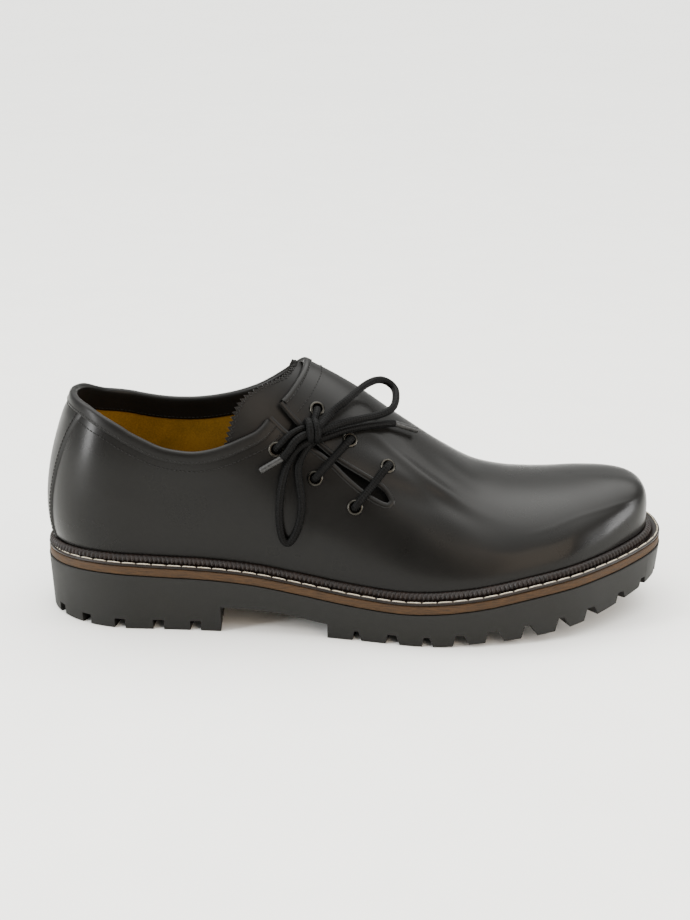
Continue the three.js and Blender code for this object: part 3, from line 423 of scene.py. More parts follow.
# %% Place the camera
picture_height = 920
focal_px = 1600.0
elevation, yaw, roll = np.radians([19.35, 0.7, -0.15])
camera_distance = 774.9
aim = np.array([-4.8, 0.0, 72.0]) + shift
forward = np.array([np.sin(yaw) * np.cos(elevation), np.cos(yaw) * np.cos(elevation), -np.sin(elevation)])
right = np.array([np.cos(yaw), -np.sin(yaw), 0.0])
down = np.cross(forward, right)
rolled_right = np.cos(roll) * right + np.sin(roll) * down
rolled_down = -np.sin(roll) * right + np.cos(roll) * down
camera_data = bpy.data.cameras.new("camera")
camera_data.lens = focal_px * 36 / picture_height
camera_data.sensor_width = 36
camera = bpy.data.objects.new("camera", camera_data)
turned = Matrix([rolled_right, -rolled_down, -forward]).transposed().to_4x4()
camera.matrix_world = Matrix.Translation((aim - forward * camera_distance) * metre) @ turned
bpy.context.scene.collection.objects.link(camera)
bpy.context.scene.camera = camera
print("camera at", [round(v, 3) for v in camera.location], "lens", round(camera_data.lens, 2))


# %% [markdown]
# ## Making meshes and materials
# One helper turns points in millimetres into an object that rides on the shoe. A second adds a shader
# node with its settings and links. Colours are written as on a paint card, in sRGB hex, and one
# function turns them to the linear values that light adds up in.

# %% Helpers for meshes
def put_in_scene(name, data):
    thing = bpy.data.objects.new(name, data)
    bpy.context.scene.collection.objects.link(thing)
    return thing


def make(name, points, faces, material, stands_for=(), smooth=True, face_material=None, uv=None):
    """A mesh object that rides on the shoe and may stand for CAD nodes."""
    mesh = bpy.data.meshes.new(name)
    mesh.from_pydata(((np.asarray(points).reshape(-1, 3) + shift) * metre).tolist(), [], faces)
    mesh.validate()
    mesh.polygons.foreach_set("use_smooth", [smooth] * len(mesh.polygons))
    for each in material if isinstance(material, (list, tuple)) else [material]:
        mesh.materials.append(each)
    if face_material is not None:
        mesh.polygons.foreach_set("material_index", face_material)
    if uv is not None:
        layer = mesh.uv_layers.new(name="run")
        layer.data.foreach_set("uv", np.asarray(uv, float).ravel())
    piece = put_in_scene(name, mesh)
    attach(piece, "root")
    if stands_for:
        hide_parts(*stands_for)
    print(f"{name}: {len(mesh.vertices)} points, {len(mesh.polygons)} faces")
    return piece


def grid_faces(rows, columns_count, around=False, closed=False):
    """Quads of a grid of points; around joins the last column to the first, closed the last row."""
    j, i = np.meshgrid(
        np.arange(rows if closed else rows - 1),
        np.arange(columns_count if around else columns_count - 1),
        indexing="ij",
    )
    j2, i2 = (j + 1) % rows, (i + 1) % columns_count
    quads = np.stack([j * columns_count + i, j * columns_count + i2, j2 * columns_count + i2,
                      j2 * columns_count + i], -1)
    return quads.reshape(-1, 4).tolist()


def weld(piece, distance=1e-6, outwards=True):
    """Joins points that lie together, and makes all faces of a closed piece look outwards."""
    shape = bmesh.new()
    shape.from_mesh(piece.data)
    bmesh.ops.remove_doubles(shape, verts=shape.verts, dist=distance)
    if outwards:
        bmesh.ops.recalc_face_normals(shape, faces=shape.faces)
    shape.to_mesh(piece.data)
    shape.free()
    return piece


# %% Helpers for materials
def linear(colour):
    """Linear RGBA of an sRGB hex colour."""
    parts = [int(colour[i:i + 2], 16) / 255 for i in (1, 3, 5)]
    return [p / 12.92 if p <= 0.04045 else ((p + 0.055) / 1.055) ** 2.4 for p in parts] + [1.0]


def new_finish(name):
    """An empty material, the tree that the pattern nodes go into, its shader and the place on the piece."""
    finish = bpy.data.materials.new(name)
    finish.use_nodes = True
    tree = finish.node_tree
    place = tree.nodes.new("ShaderNodeTexCoord").outputs["Object"]
    return finish, tree, tree.nodes["Principled BSDF"], place


def add(tree, kind, inputs=(), **settings):
    """Adds a node, sets its options, and fills or links its inputs; returns its first output."""
    made = tree.nodes.new("ShaderNode" + kind)
    for key, value in settings.items():
        setattr(made, key, value)
    for key, value in dict(inputs).items():
        if isinstance(value, bpy.types.NodeSocket):
            tree.links.new(value, made.inputs[key])
        else:
            made.inputs[key].default_value = value
    return made.outputs[2] if kind == "Mix" else made.outputs[0]


def feed(tree, shader, **values):
    """Sets or links the shader's inputs, named with _ for a space."""
    for name, value in values.items():
        socket = shader.inputs[name.replace("_", " ")]
        if isinstance(value, bpy.types.NodeSocket):
            tree.links.new(value, socket)
        else:
            socket.default_value = value


def per_mm(size):
    """Scale of a texture whose features are this many millimetres apart."""
    return 1 / (size * metre)


print("ochre in linear light:", [round(v, 3) for v in linear("#a06a1a")])

# %% [markdown]
# ## The smooth black leather
# The upper is calf that was dyed, waxed and polished. Such a face is almost closed: pores show only as a
# faint break of the gloss, and broad uneven patches of wax make the reflections soft and brownish.
# So the colour barely varies, the roughness does, and a thin coat gives the polish.


# %% Waxed calf
def waxed_calf(name, dark, light, rough_low, rough_high, coat, grain=0.9):
    finish, tree, shader, place = new_finish(name)
    patches = add(tree, "TexNoise", {"Vector": place, "Scale": per_mm(32), "Detail": 3.0})
    pores = add(tree, "TexNoise", {"Vector": place, "Scale": per_mm(grain), "Detail": 2.0})
    wrinkle = add(tree, "TexVoronoi", {"Vector": place, "Scale": per_mm(2.2)}, feature="SMOOTH_F1")
    colour = add(tree, "Mix", {0: patches, 6: linear(dark), 7: linear(light)}, data_type="RGBA")
    rough = add(tree, "MapRange", {0: patches, 1: 0.3, 2: 0.7, 3: rough_low, 4: rough_high})
    height = add(tree, "Math", {0: pores, 1: wrinkle}, operation="ADD")
    bump = add(tree, "Bump", {"Height": height, "Strength": 0.06, "Distance": 0.04 * metre})
    feed(tree, shader, Base_Color=colour, Roughness=rough, Normal=bump, Specular_IOR_Level=0.12,
         Coat_Weight=coat, Coat_Roughness=0.14)
    return finish


calf = waxed_calf("waxed_calf", "#0a0a09", "#11100f", 0.25, 0.34, 0.03)
trim_calf = waxed_calf("trim_calf", "#0a0a09", "#11100f", 0.34, 0.46, 0.02, grain=0.7)
# Painted shade: near-black, dull leather for the tongue where it lies deep in the slot's shade.
painted_shade_calf = waxed_calf("painted_shade_calf", "#040404", "#070706", 0.7, 0.8, 0.0, grain=0.7)
print("leathers:", calf.name, trim_calf.name, painted_shade_calf.name)

# %% [markdown]
# ## The other finishes
# The lining is vegetable-tanned calf in its own ochre, dull and a little mottled. The welt is a waxed
# brown leather, the midsole a pressed leather board whose edge shows its layers, and the sole a moulded
# black rubber that looks dark grey, because its face is matt. The lace is a waxed round braid.


# %% Lining, board and rubber
def mottled(name, dark, light, rough, spot, grain, depth, stretch=(1, 1, 1)):
    """A dull material with spots of two colours and a fine grain."""
    finish, tree, shader, place = new_finish(name)
    drawn_out = add(tree, "Mapping", {"Vector": place, "Scale": stretch})
    spots = add(tree, "TexNoise", {"Vector": drawn_out, "Scale": per_mm(spot), "Detail": 4.0})
    fine = add(tree, "TexNoise", {"Vector": drawn_out, "Scale": per_mm(grain), "Detail": 3.0})
    both = add(tree, "Math", {0: spots, 1: fine}, operation="ADD")
    share_light = add(tree, "MapRange", {0: both, 1: 0.75, 2: 1.25})
    colour = add(tree, "Mix", {0: share_light, 6: linear(dark), 7: linear(light)}, data_type="RGBA")
    bump = add(tree, "Bump", {"Height": fine, "Strength": 0.35, "Distance": depth * metre})
    roughness = add(tree, "MapRange", {0: spots, 1: 0.3, 2: 0.7, 3: rough - 0.06, 4: rough + 0.06})
    feed(tree, shader, Base_Color=colour, Roughness=roughness, Normal=bump, Specular_IOR_Level=0.2)
    return finish


lining_hide = mottled("lining_hide", "#644a10", "#7e5c18", 0.6, 14, 0.8, 0.08)
leather_board = mottled("leather_board", "#20160b", "#3e2b17", 0.7, 5, 0.7, 0.15, stretch=(1, 1, 9))
lug_rubber = mottled("lug_rubber", "#0f0f0e", "#141412", 0.6, 20, 0.6, 0.05)
welt_hide = mottled("welt_hide", "#080504", "#160d09", 0.42, 6, 0.8, 0.06)
raw_edge = mottled("raw_edge", "#4a3c26", "#6e5d40", 0.8, 3, 0.5, 0.1)
white_thread = mottled("linen_thread", "#8d8676", "#b3ab9b", 0.75, 1.5, 0.3, 0.1)
black_thread = mottled("black_thread", "#090908", "#121211", 0.6, 1.5, 0.3, 0.1)
print("dull finishes:", lining_hide.name, leather_board.name, lug_rubber.name, welt_hide.name)


# %% The braided lace
def braided_cord(name, dark, light, strands, lay_length):
    """Waxed braid: two sets of strands cross, read from the run map of a cord's mesh."""
    finish, tree, shader, _ = new_finish(name)
    run_map = add(tree, "UVMap", uv_map="run")
    split = tree.nodes.new("ShaderNodeSeparateXYZ")
    tree.links.new(run_map, split.inputs[0])
    run = add(tree, "Math", {0: split.outputs[0], 1: 2 * np.pi / lay_length}, operation="MULTIPLY")
    turn = add(tree, "Math", {0: split.outputs[1], 1: 2 * np.pi * strands}, operation="MULTIPLY")
    one_way = add(tree, "Math", {0: run, 1: turn}, operation="ADD")
    other_way = add(tree, "Math", {0: run, 1: turn}, operation="SUBTRACT")
    waves = [add(tree, "Math", {0: way}, operation="SINE") for way in (one_way, other_way)]
    crossed = add(tree, "Math", {0: waves[0], 1: waves[1]}, operation="MULTIPLY")
    height = add(tree, "MapRange", {0: crossed, 1: -1.0, 2: 1.0})
    # Painted shade and highlight: the braid is coloured darker where its strands lie lower, lighter on the
    # crests.
    colour = add(tree, "Mix", {0: height, 6: linear(dark), 7: linear(light)}, data_type="RGBA")
    bump = add(tree, "Bump", {"Height": height, "Strength": 0.7, "Distance": 0.25 * metre})
    feed(tree, shader, Base_Color=colour, Normal=bump, Roughness=0.55, Specular_IOR_Level=0.06)
    return finish


lace_braid = braided_cord("waxed_braid", "#030303", "#090909", 6, 2.4)


# %% Gunmetal and the film of the lace tips
def hard_gloss(name, dark, light, metallic, roughness, grain):
    finish, tree, shader, place = new_finish(name)
    wear = add(tree, "TexNoise", {"Vector": place, "Scale": per_mm(grain), "Detail": 3.0})
    colour = add(tree, "Mix", {0: wear, 6: linear(dark), 7: linear(light)}, data_type="RGBA")
    rough = add(tree, "MapRange", {0: wear, 1: 0.3, 2: 0.7, 3: roughness - 0.06, 4: roughness + 0.08})
    feed(tree, shader, Base_Color=colour, Roughness=rough, Metallic=metallic, Specular_IOR_Level=0.2)
    return finish


gunmetal = hard_gloss("gunmetal", "#262522", "#3b3935", 1.0, 0.3, 1.5)
tip_film = hard_gloss("tip_film", "#121212", "#343434", 0.0, 0.36, 0.9)
print("hard finishes:", gunmetal.name, tip_film.name)

# %% [markdown]
# ## The lace
# The lace is a round waxed braid of 3.6 mm. Each half comes up through a top eyelet, goes through the
# knot, makes a loop and ends in a stiff tip on the other side. Both are free cords, so each is one tube
# along a route of listed places on the last, with a lift over the leather. The hidden ends stop
# inside the top eyelets.

# %% Places of the eyelets and the routes
eyelet_places = {
    "vamp_1": (0.4372, 0.6745),
    "vamp_2": (0.4880, 0.6063),
    "vamp_3": (0.5458, 0.5812),
    "quarter_1": (0.3741, 0.4554),
    "quarter_2": (0.4326, 0.3991),
    "quarter_3": (0.4940, 0.3476),
}
front_loop_route = [
    (0.4373, 0.6750, -0.8), (0.4368, 0.6696, 1.4), (0.4347, 0.6515, 3.2), (0.4314, 0.6188, 4.4),
    (0.4266, 0.5827, 4.6), (0.4218, 0.5565, 5.0), (0.4207, 0.5458, 6.6), (0.4256, 0.5553, 7.9),
    (0.4345, 0.5814, 7.4), (0.4435, 0.6097, 6.5), (0.4564, 0.6693, 6.5), (0.4709, 0.7176, 9.0),
    (0.4919, 0.8197, 9.0), (0.5092, 0.9142, 9.5), (0.5225, 0.9599, 11.0), (0.5384, 0.9714, 11.0),
    (0.5425, 0.8951, 11.0), (0.5383, 0.8036, 10.5), (0.5238, 0.7511, 8.5), (0.4951, 0.6811, 7.5),
    (0.4674, 0.6291, 6.5), (0.4495, 0.5896, 6.5), (0.4376, 0.5700, 6.2), (0.4257, 0.5519, 6.4),
    (0.4145, 0.5345, 7.2), (0.4055, 0.5174, 7.6), (0.3986, 0.4993, 7.4), (0.3932, 0.4714, 7.0),
    (0.3823, 0.4326, 5.2),
]
low_loop_route = [
    (0.3741, 0.4556, -0.8), (0.3744, 0.4581, 1.4), (0.3773, 0.4677, 3.2), (0.3847, 0.4917, 4.4),
    (0.3946, 0.5220, 4.6), (0.4066, 0.5484, 4.6), (0.4186, 0.5667, 4.2), (0.4306, 0.5669, 4.2),
    (0.4341, 0.5486, 4.8), (0.4286, 0.5304, 5.4), (0.4176, 0.5103, 5.4), (0.4042, 0.4803, 5.0),
    (0.3900, 0.4136, 2.6), (0.3811, 0.3242, 2.4), (0.3781, 0.2390, 2.4), (0.3822, 0.1649, 2.4),
    (0.3900, 0.1399, 2.4), (0.3989, 0.1652, 2.4), (0.4084, 0.2216, 2.4), (0.4129, 0.2939, 2.4),
    (0.4103, 0.3421, 2.4), (0.4068, 0.4211, 2.6), (0.4152, 0.4778, 4.0), (0.4247, 0.5162, 3.4),
    (0.4357, 0.5393, 3.2), (0.4467, 0.5612, 3.2), (0.4851, 0.6408, 2.8), (0.5232, 0.7279, 2.8),
    (0.5541, 0.8130, 3.0),
]
aglet_routes = {
    "aglet_rear": [(0.3823, 0.4326, 5.2), (0.3494, 0.3694, 3.4)],
    "aglet_front": [(0.5541, 0.8130, 3.0), (0.5932, 0.8796, 3.0)],
}


def route_points(rows):
    at, up, lift = np.array(rows, float).T
    return last(station_at(at), up) + normal(station_at(at), up) * lift[:, None]


# %% A tube along a line
def tube(points, radii, sides):
    """Points, faces and run map of a round tube, with the radius at each point."""
    run = unit(np.gradient(points, axis=0))
    across = np.empty_like(points)
    across[0] = unit(np.cross(run[0], [0.3, 0.2, 0.9]))
    for i in range(1, len(points)):
        across[i] = unit(across[i - 1] - run[i] * np.dot(across[i - 1], run[i]))
    third = np.cross(run, across)
    turn = full_turn(sides)
    ring = np.cos(turn)[None, :, None] * across[:, None] + np.sin(turn)[None, :, None] * third[:, None]
    skin_points = points[:, None] + ring * np.broadcast_to(radii, len(points))[:, None, None]
    faces = grid_faces(len(points), sides, around=True)
    length = line_length(points)
    j, i = np.meshgrid(np.arange(len(points) - 1), np.arange(sides), indexing="ij")
    corners = [(j, i), (j, i + 1), (j + 1, i + 1), (j + 1, i)]
    uv = np.stack([np.stack([length[a], b / sides], -1) for a, b in corners], 2).reshape(-1, 2)
    end = (len(points) - 1) * sides
    faces += [list(range(sides))[::-1], list(range(end, end + sides))]
    uv = np.concatenate([uv, np.zeros((2 * sides, 2))])
    return skin_points.reshape(-1, 3), faces, uv


def cord_piece(name, points, stands_for=()):
    skin_points, faces, uv = tube(points, lace_diameter / 2, 16)
    return make(name, skin_points, faces, lace_braid, stands_for, uv=uv)


# %% Tips, knot and the two free cords
for name, rows in aglet_routes.items():
    line = smooth_line(route_points(rows), 0.5)
    radii = aglet_diameter / 2 * np.where(np.arange(len(line)) % 6 == 5, 0.93, 1.0)
    radii[[0, -1]] *= 0.8
    skin_points, faces, uv = tube(line, radii, 20)
    make(name + "_tip", skin_points, faces, tip_film, [name], uv=uv)

knot_at, knot_up = 0.4275, 0.562
_, knot_out, knot_across, knot_along = axes_at(knot_at, knot_up)
knot_turns, knot_pitch, knot_lift, knot_high, knot_wide = 1.75, 3.1, 5.6, 3.6, 4.4
wrap = np.linspace(-0.15, knot_turns - 0.15, 60)
knot_line = (
    last(station_at(knot_at), knot_up)
    + knot_out * (knot_lift + knot_high * np.sin(2 * np.pi * wrap))[:, None]
    + knot_across * (knot_wide * np.cos(2 * np.pi * wrap))[:, None]
    + knot_along * ((wrap - knot_turns / 2) * knot_pitch)[:, None]
)
knot = cord_piece("bow_knot", knot_line, ["lace_knot"])

cord_step = 0.8
ease_rounds = 14


def cord_line(rows):
    """The route's line, with its bends eased."""
    line = smooth_line(route_points(rows), cord_step)
    for _ in range(ease_rounds):
        line[1:-1] = (line[:-2] + 2 * line[1:-1] + line[2:]) / 4
    return line


front_line = cord_line(front_loop_route)
low_line = cord_line(low_loop_route)
lace_front = cord_piece("lace_with_front_loop", front_line, ["lace_loop_front", "lace_end_rear"])
lace_low = cord_piece("lace_with_low_loop", low_line, ["lace_loop_low", "lace_end_front"])


# %% [markdown]
# ## Crossings and eyelets
# Below the knot the lace crosses the slot twice, from eyelet to eyelet. An eyelet is a short brass tube,
# rolled over on the outside and finished in gunmetal, so its profile is turned round its own axis: a
# barrel, a rounded flange and a thin bright rim.


# %% Eyelets
def spokes_around(across, ahead, count):
    turn = full_turn(count)[:, None]
    return np.cos(turn) * ahead + np.sin(turn) * across


bore, flange = eyelet_hole / 2, eyelet_diameter / 2
eyelet_profile = [
    (bore, -wall), (bore + 0.6, -wall), (bore + 0.6, 0.1), (flange - 0.1, 0.15), (flange, 0.35),
    (flange - 0.1, 0.6), (flange - 0.5, 0.9), (flange - 1.0, 1.05), (bore + 0.2, 0.9), (bore, 0.5),
]
eyelet_sides = 40
for name, (at, up) in eyelet_places.items():
    centre, out, across, ahead = axes_at(at, up)
    spokes = spokes_around(across, ahead, eyelet_sides)
    rings = [centre + out * height + spokes * radius for radius, height in eyelet_profile]
    faces = grid_faces(len(rings), eyelet_sides, around=True, closed=True)
    weld(make("ring_" + name, np.array(rings), faces, gunmetal, ["eyelet_" + name]))


# %% Crossings of the lace
def crossing(name, start, end):
    """A run of lace from one eyelet over the slot into another."""
    a, a_out, _, _ = axes_at(*eyelet_places[start])
    b, b_out, _, _ = axes_at(*eyelet_places[end])
    lifts = [(-0.8, 0.0), (1.5, -0.2), (lace_lift, 1.0), (lace_lift + 0.4, 3.0)]
    from_a = unit((b - a) - a_out * np.dot(b - a, a_out))
    from_b = unit((a - b) - b_out * np.dot(a - b, b_out))
    rise = [a + a_out * high + from_a * ahead for high, ahead in lifts]
    fall = [b + b_out * high + from_b * ahead for high, ahead in lifts]
    middle = (a + b) / 2 + unit(a_out + b_out) * (lace_lift + 0.5)
    line = smooth_line(rise + [middle] + fall[::-1], cord_step)
    return cord_piece("crossing_" + name, line, [name])


crossing("lace_bar_1", "vamp_2", "quarter_2")
crossing("lace_bar_2", "vamp_3", "quarter_3")

# %% [markdown]
# ## The upper
# A shoemaker cuts the leather flat and pulls it over the last. The script does the same: the outline of
# the cut piece is drawn in the flat pattern of stations and rises, filled with points about 2 mm apart,
# joined into triangles that respect every cut line, and laid on the last. A boolean cut would leave
# ragged shading along the openings, while here each edge is a clean row of points.

# %% Lines of the collar, the slot and the flap
outer_edge_rows = columns(
    "at up",
    (0.3623, 0.5517), (0.3546, 0.5215), (0.3424, 0.4896), (0.3198, 0.4534), (0.2967, 0.4217),
    (0.2734, 0.3984), (0.2504, 0.3844), (0.2274, 0.3815), (0.1967, 0.3888), (0.1669, 0.4110),
    (0.1346, 0.4422), (0.0956, 0.4745), (0.0591, 0.5008), (0.0272, 0.5145), (0.0030, 0.5241),
    (0.0000, 0.5251),
)
inner_edge_rows = columns(
    "at up",
    (0.0000, 1.4749), (0.0030, 1.4759), (0.0279, 1.4908), (0.0742, 1.5326), (0.1063, 1.5475),
    (0.1478, 1.5635), (0.1814, 1.5713), (0.2150, 1.5714), (0.2482, 1.5636), (0.2813, 1.5437),
    (0.3151, 1.5097), (0.3453, 1.4584), (0.3703, 1.3881), (0.3921, 1.2961), (0.4090, 1.1839),
    (0.4200, 1.0528), (0.4220, 0.9521), (0.4165, 0.8480), (0.4074, 0.7676), (0.3961, 0.6968),
    (0.3853, 0.6490),
)
slot_rows = columns(
    "at up",
    (0.3623, 0.5517), (0.3739, 0.5333), (0.3852, 0.5181), (0.3978, 0.5068), (0.4109, 0.4972),
    (0.4269, 0.4885), (0.4448, 0.4744), (0.4597, 0.4569), (0.4746, 0.4355), (0.4893, 0.4182),
    (0.5050, 0.4031), (0.5187, 0.3953), (0.5334, 0.3930), (0.5433, 0.3989), (0.5503, 0.4139),
    (0.5559, 0.4452), (0.5505, 0.4729), (0.5435, 0.4883), (0.5337, 0.4954), (0.5189, 0.4984),
    (0.5051, 0.5019), (0.4894, 0.5068), (0.4746, 0.5139), (0.4598, 0.5263), (0.4449, 0.5428),
    (0.4269, 0.5659), (0.4109, 0.5936), (0.3978, 0.6199), (0.3853, 0.6490),
)
cut_step = 0.11


def cut_line(rows):
    return smooth_line(pattern(rows["at"], rows["up"]), cut_step)


outer_edge, inner_edge, slot_edge = map(cut_line, (outer_edge_rows, inner_edge_rows, slot_rows))
print("cut lines:", len(outer_edge), len(inner_edge), len(slot_edge), "points")


# %% Cutting the pattern
def in_outline(points, loop):
    """Which points lie inside a closed loop."""
    x, y = points[:, :1], points[:, 1:]
    a, b = loop, np.roll(loop, -1, axis=0)
    crosses = (a[:, 1] > y) != (b[:, 1] > y)
    with np.errstate(divide="ignore", invalid="ignore"):
        hit = a[:, 0] + (y - a[:, 1]) * (b[:, 0] - a[:, 0]) / (b[:, 1] - a[:, 1])
    return (crosses & (x < hit)).sum(axis=1) % 2 == 1


def straight(start, end, step):
    count = max(int(round(np.linalg.norm(np.subtract(end, start)) / step)), 1)
    return np.linspace(start, end, count + 1)


toe_pole_clear, edge_clear, fill_chunks = 0.35, 0.55, 40


def fill_pattern(loop, holes, step):
    """Triangles that fill a loop round its holes, with points about a step apart."""
    rows = np.arange(0, 2 * rise_scale + step, step)
    filling = np.array([
        (u, w) for j, w in enumerate(rows) for u in np.arange((j % 2) * step / 2, toe_station, step)
    ])
    keep = in_outline(filling, loop)
    for hole in holes:
        keep &= ~in_outline(filling, hole)
    near_pole = (np.abs(filling[:, 1] - rise_scale) < toe_pole_clear) & (
        filling[:, 0] > toe_station - stations_toe)
    filling = filling[keep & ~near_pole]
    edge_points = np.concatenate([loop, *holes])
    clear = np.ones(len(filling), bool)
    for chunk in np.array_split(np.arange(len(filling)), fill_chunks):
        apart = np.linalg.norm(filling[chunk, None] - edge_points[None], axis=-1).min(axis=1)
        clear[chunk] = apart > edge_clear * step
    points = np.concatenate([edge_points, filling[clear]])
    edges, start = [], 0
    for each in [loop, *holes]:
        edges += [(start + i, start + (i + 1) % len(each)) for i in range(len(each))]
        start += len(each)
    flat, _, triangles, *_ = delaunay_2d_cdt([Vector(p) for p in points], edges, [], 0, 1e-7)
    flat, triangles = np.array([p[:] for p in flat]), np.array(triangles)
    middles = flat[triangles].mean(axis=1)
    inside = in_outline(middles, loop)
    for hole in holes:
        inside &= ~in_outline(middles, hole)
    return flat, triangles[inside]


hole_radius, hole_points = bore + 0.7, 24
eyelet_holes = []
for at, up in eyelet_places.values():
    _, _, across, ahead = axes_at(at, up)
    spokes = spokes_around(across, ahead, hole_points)
    middle_k, middle_up = np.full(hole_points, station_at(at)), np.full(hole_points, up)
    k, rise = slide(middle_k, middle_up, spokes, hole_radius, steps=2)
    eyelet_holes.append(np.stack([k, rise * rise_scale], -1))

fill_step = 0.2
top_rise = 2 * rise_scale
heel_outer = straight((0, 0), outer_edge[-1], fill_step)
heel_inner = straight(inner_edge[0], (0, top_rise), fill_step)
foot_inner = straight((0, top_rise), (toe_station, top_rise), fill_step)
toe_line = straight((toe_station, top_rise), (toe_station, 0), fill_step)
foot_outer = straight((toe_station, 0), (0, 0), fill_step)
cut_loop = np.concatenate([
    heel_outer[:-1], outer_edge[::-1][:-1], slot_edge[:-1], inner_edge[::-1][:-1],
    heel_inner[:-1], foot_inner[:-1], toe_line[:-1], foot_outer[:-1],
])
flat, triangles = fill_pattern(cut_loop, eyelet_holes, fill_step)
stations, rises = flat[:, 0], flat[:, 1] / rise_scale
print("pattern:", len(flat), "points,", len(triangles), "triangles")

# %% Laying leather and lining on the last
outside = make("upper_leather", skin(stations, rises), triangles.tolist(), calf, ["upper"])
inside_faces = triangles[:, ::-1].tolist()
lining = make("upper_lining", skin(stations, rises, -wall), inside_faces, lining_hide)
# The pattern's edges meet at heel and toe, and are joined there.
sewn = 2e-6
for sheet in (outside, lining):
    weld(sheet, sewn, outwards=False)

# %% [markdown]
# ## Cut edges
# Where the leather isn't bound, along the slot and in the eyelet holes, its cut edge shows: the calf's
# edge is dyed dark, and the lining's edge stays light. The edge is a narrow strip between the two faces
# with one material for each half.

# %% Edges of the slot and the eyelet holes
edge_layers = (0.0, 0.1, 0.62, 0.66, 1.0)
edge_points, edge_faces, edge_parts = [], [], []
for line, closed in [(slot_edge, False)] + [(hole, True) for hole in eyelet_holes]:
    layers = [skin(line[:, 0], line[:, 1] / rise_scale, -share_in * wall) for share_in in edge_layers]
    start = sum(len(p) for p in edge_points)
    faces = np.array(grid_faces(len(layers), len(line), around=closed)) + start
    edge_points.append(np.concatenate(layers))
    edge_faces += faces.tolist()
    per_row = len(line) if closed else len(line) - 1
    edge_parts += [0] * (2 * per_row) + [1] * (2 * per_row)
make("cut_edges", np.concatenate(edge_points), edge_faces, [trim_calf, raw_edge],
     face_material=edge_parts)

# %% [markdown]
# ## Binding, facing and back strip
# The collar is bound with a narrow strip of calf, rolled over the edge and stitched, and a dark facing
# runs round inside it above the ochre lining. A strip covers the seam at the heel. All three are ribbons:
# a small section, given as depth below the edge and height off the leather, is swept along a line.


# %% Ribbons along a line on the last
def line_frame(line):
    """Stations, rises and the direction down from a line, seen across the leather."""
    k, up = line[:, 0], line[:, 1] / rise_scale
    run = unit(np.gradient(last(k, up), axis=0))
    return k, up, np.cross(normal(k, up), run)


least_slide = 0.3


def beside(line, depth, off):
    """Points at a depth beside a line, and off the leather."""
    k, up, down_way = line_frame(line)
    depth = depth * np.ones(len(line))
    if depth.min() > least_slide:
        k, up = slide(k, up, down_way, depth)
        return skin(k, up, off)
    return skin(k, up, off) + unit(down_way) * depth[:, None]


def ribbon(name, line, section, material, stands_for=(), narrow=1.0):
    """A section swept along a line; narrow draws in what lies deeper than 1 mm beside it."""
    rings = np.array([beside(line, depth * (narrow if depth > 1 else 1), off) for depth, off in section])
    return make(name, rings, grid_faces(len(section), len(line)), material, stands_for)


collar_line = np.concatenate([outer_edge, inner_edge[1:]])
binding_section = [
    (5.0, 0.0), (4.95, 0.35), (4.75, 0.55), (4.35, 0.5), (3.9, 0.6), (2.0, 0.75), (0.7, 0.7), (-0.1, 0.45),
    (-0.6, -0.1), (-0.85, -0.8), (-0.85, -1.6), (-0.6, -2.2), (-0.1, -2.7), (0.7, -2.95), (3.0, -2.95),
    (5.0, -2.9),
]
facing_depth = 11.0
facing_off = -wall - 0.5
facing_section = [
    (facing_depth + 0.1, -wall), (facing_depth, -wall - 0.2), (10.6, facing_off), (9.0, facing_off),
    (3.0, facing_off),
]
flap_start, flap_blend, flap_narrow = 1.15, 0.2, 0.55
past_outer = np.arange(len(collar_line)) > len(outer_edge)
on_flap = np.clip((flap_start - collar_line[:, 1] / rise_scale) / flap_blend, 0, 1) * past_outer
binding_narrow = 1 - flap_narrow * on_flap
ribbon("collar_roll", collar_line, binding_section, trim_calf, ["collar_binding"], binding_narrow)
ribbon("collar_facing", collar_line, facing_section, trim_calf)
hem_section = [
    (2.6, -0.05), (2.3, 0.12), (1.9, 0.3), (1.2, 0.42), (0.5, 0.4), (0.0, 0.2), (-0.2, -0.15), (-0.2, -0.7),
]
ribbon("slot_hem", slot_edge, hem_section, calf)

# %% Back strip
strip_rows = columns("at half", (0.08, 10.8), (0.22, 14.4), (0.31, 16.6), (0.39, 18.2), (0.459, 20.6))
strip_dip = 0.012
strip_lines, strip_columns = 60, 33
strip_side = np.linspace(-1, 1, strip_columns)[None, :]
strip_low, strip_high = 0.035, 0.486
strip_up = np.linspace(strip_low, strip_high, strip_lines)[:, None] + 0 * strip_side
strip_up -= strip_dip * strip_side**2 * ((strip_up - strip_low) / (strip_high - strip_low)) ** 4


def station_across(distance, up):
    """Station where the wall stands a distance to the outer side of the heel's middle line."""
    low, high = np.zeros(distance.shape), np.full(distance.shape, float(stations_heel))
    return halving(low, high, lambda k: -last(k, up)[..., 1] < distance)


half_widths = along(strip_rows, "half", strip_up)
strip_k = np.sign(strip_side) * station_across(np.abs(strip_side) * half_widths, strip_up)
edge_fall = np.clip((1 - np.abs(strip_side)) / 0.05, 0, 1) ** 0.5
end_fall = np.clip((strip_high + 0.002 - strip_up) / 0.03, 0, 1) ** 0.5
strip_off = (strip_thickness - 0.1) * edge_fall * end_fall - 0.05
make("heel_strip", skin(strip_k, strip_up, strip_off), grid_faces(strip_lines, strip_columns), trim_calf,
     ["back_strip"])
print("strip:", round(2 * float(half_widths.min())), "to", round(2 * float(half_widths.max())), "mm wide")
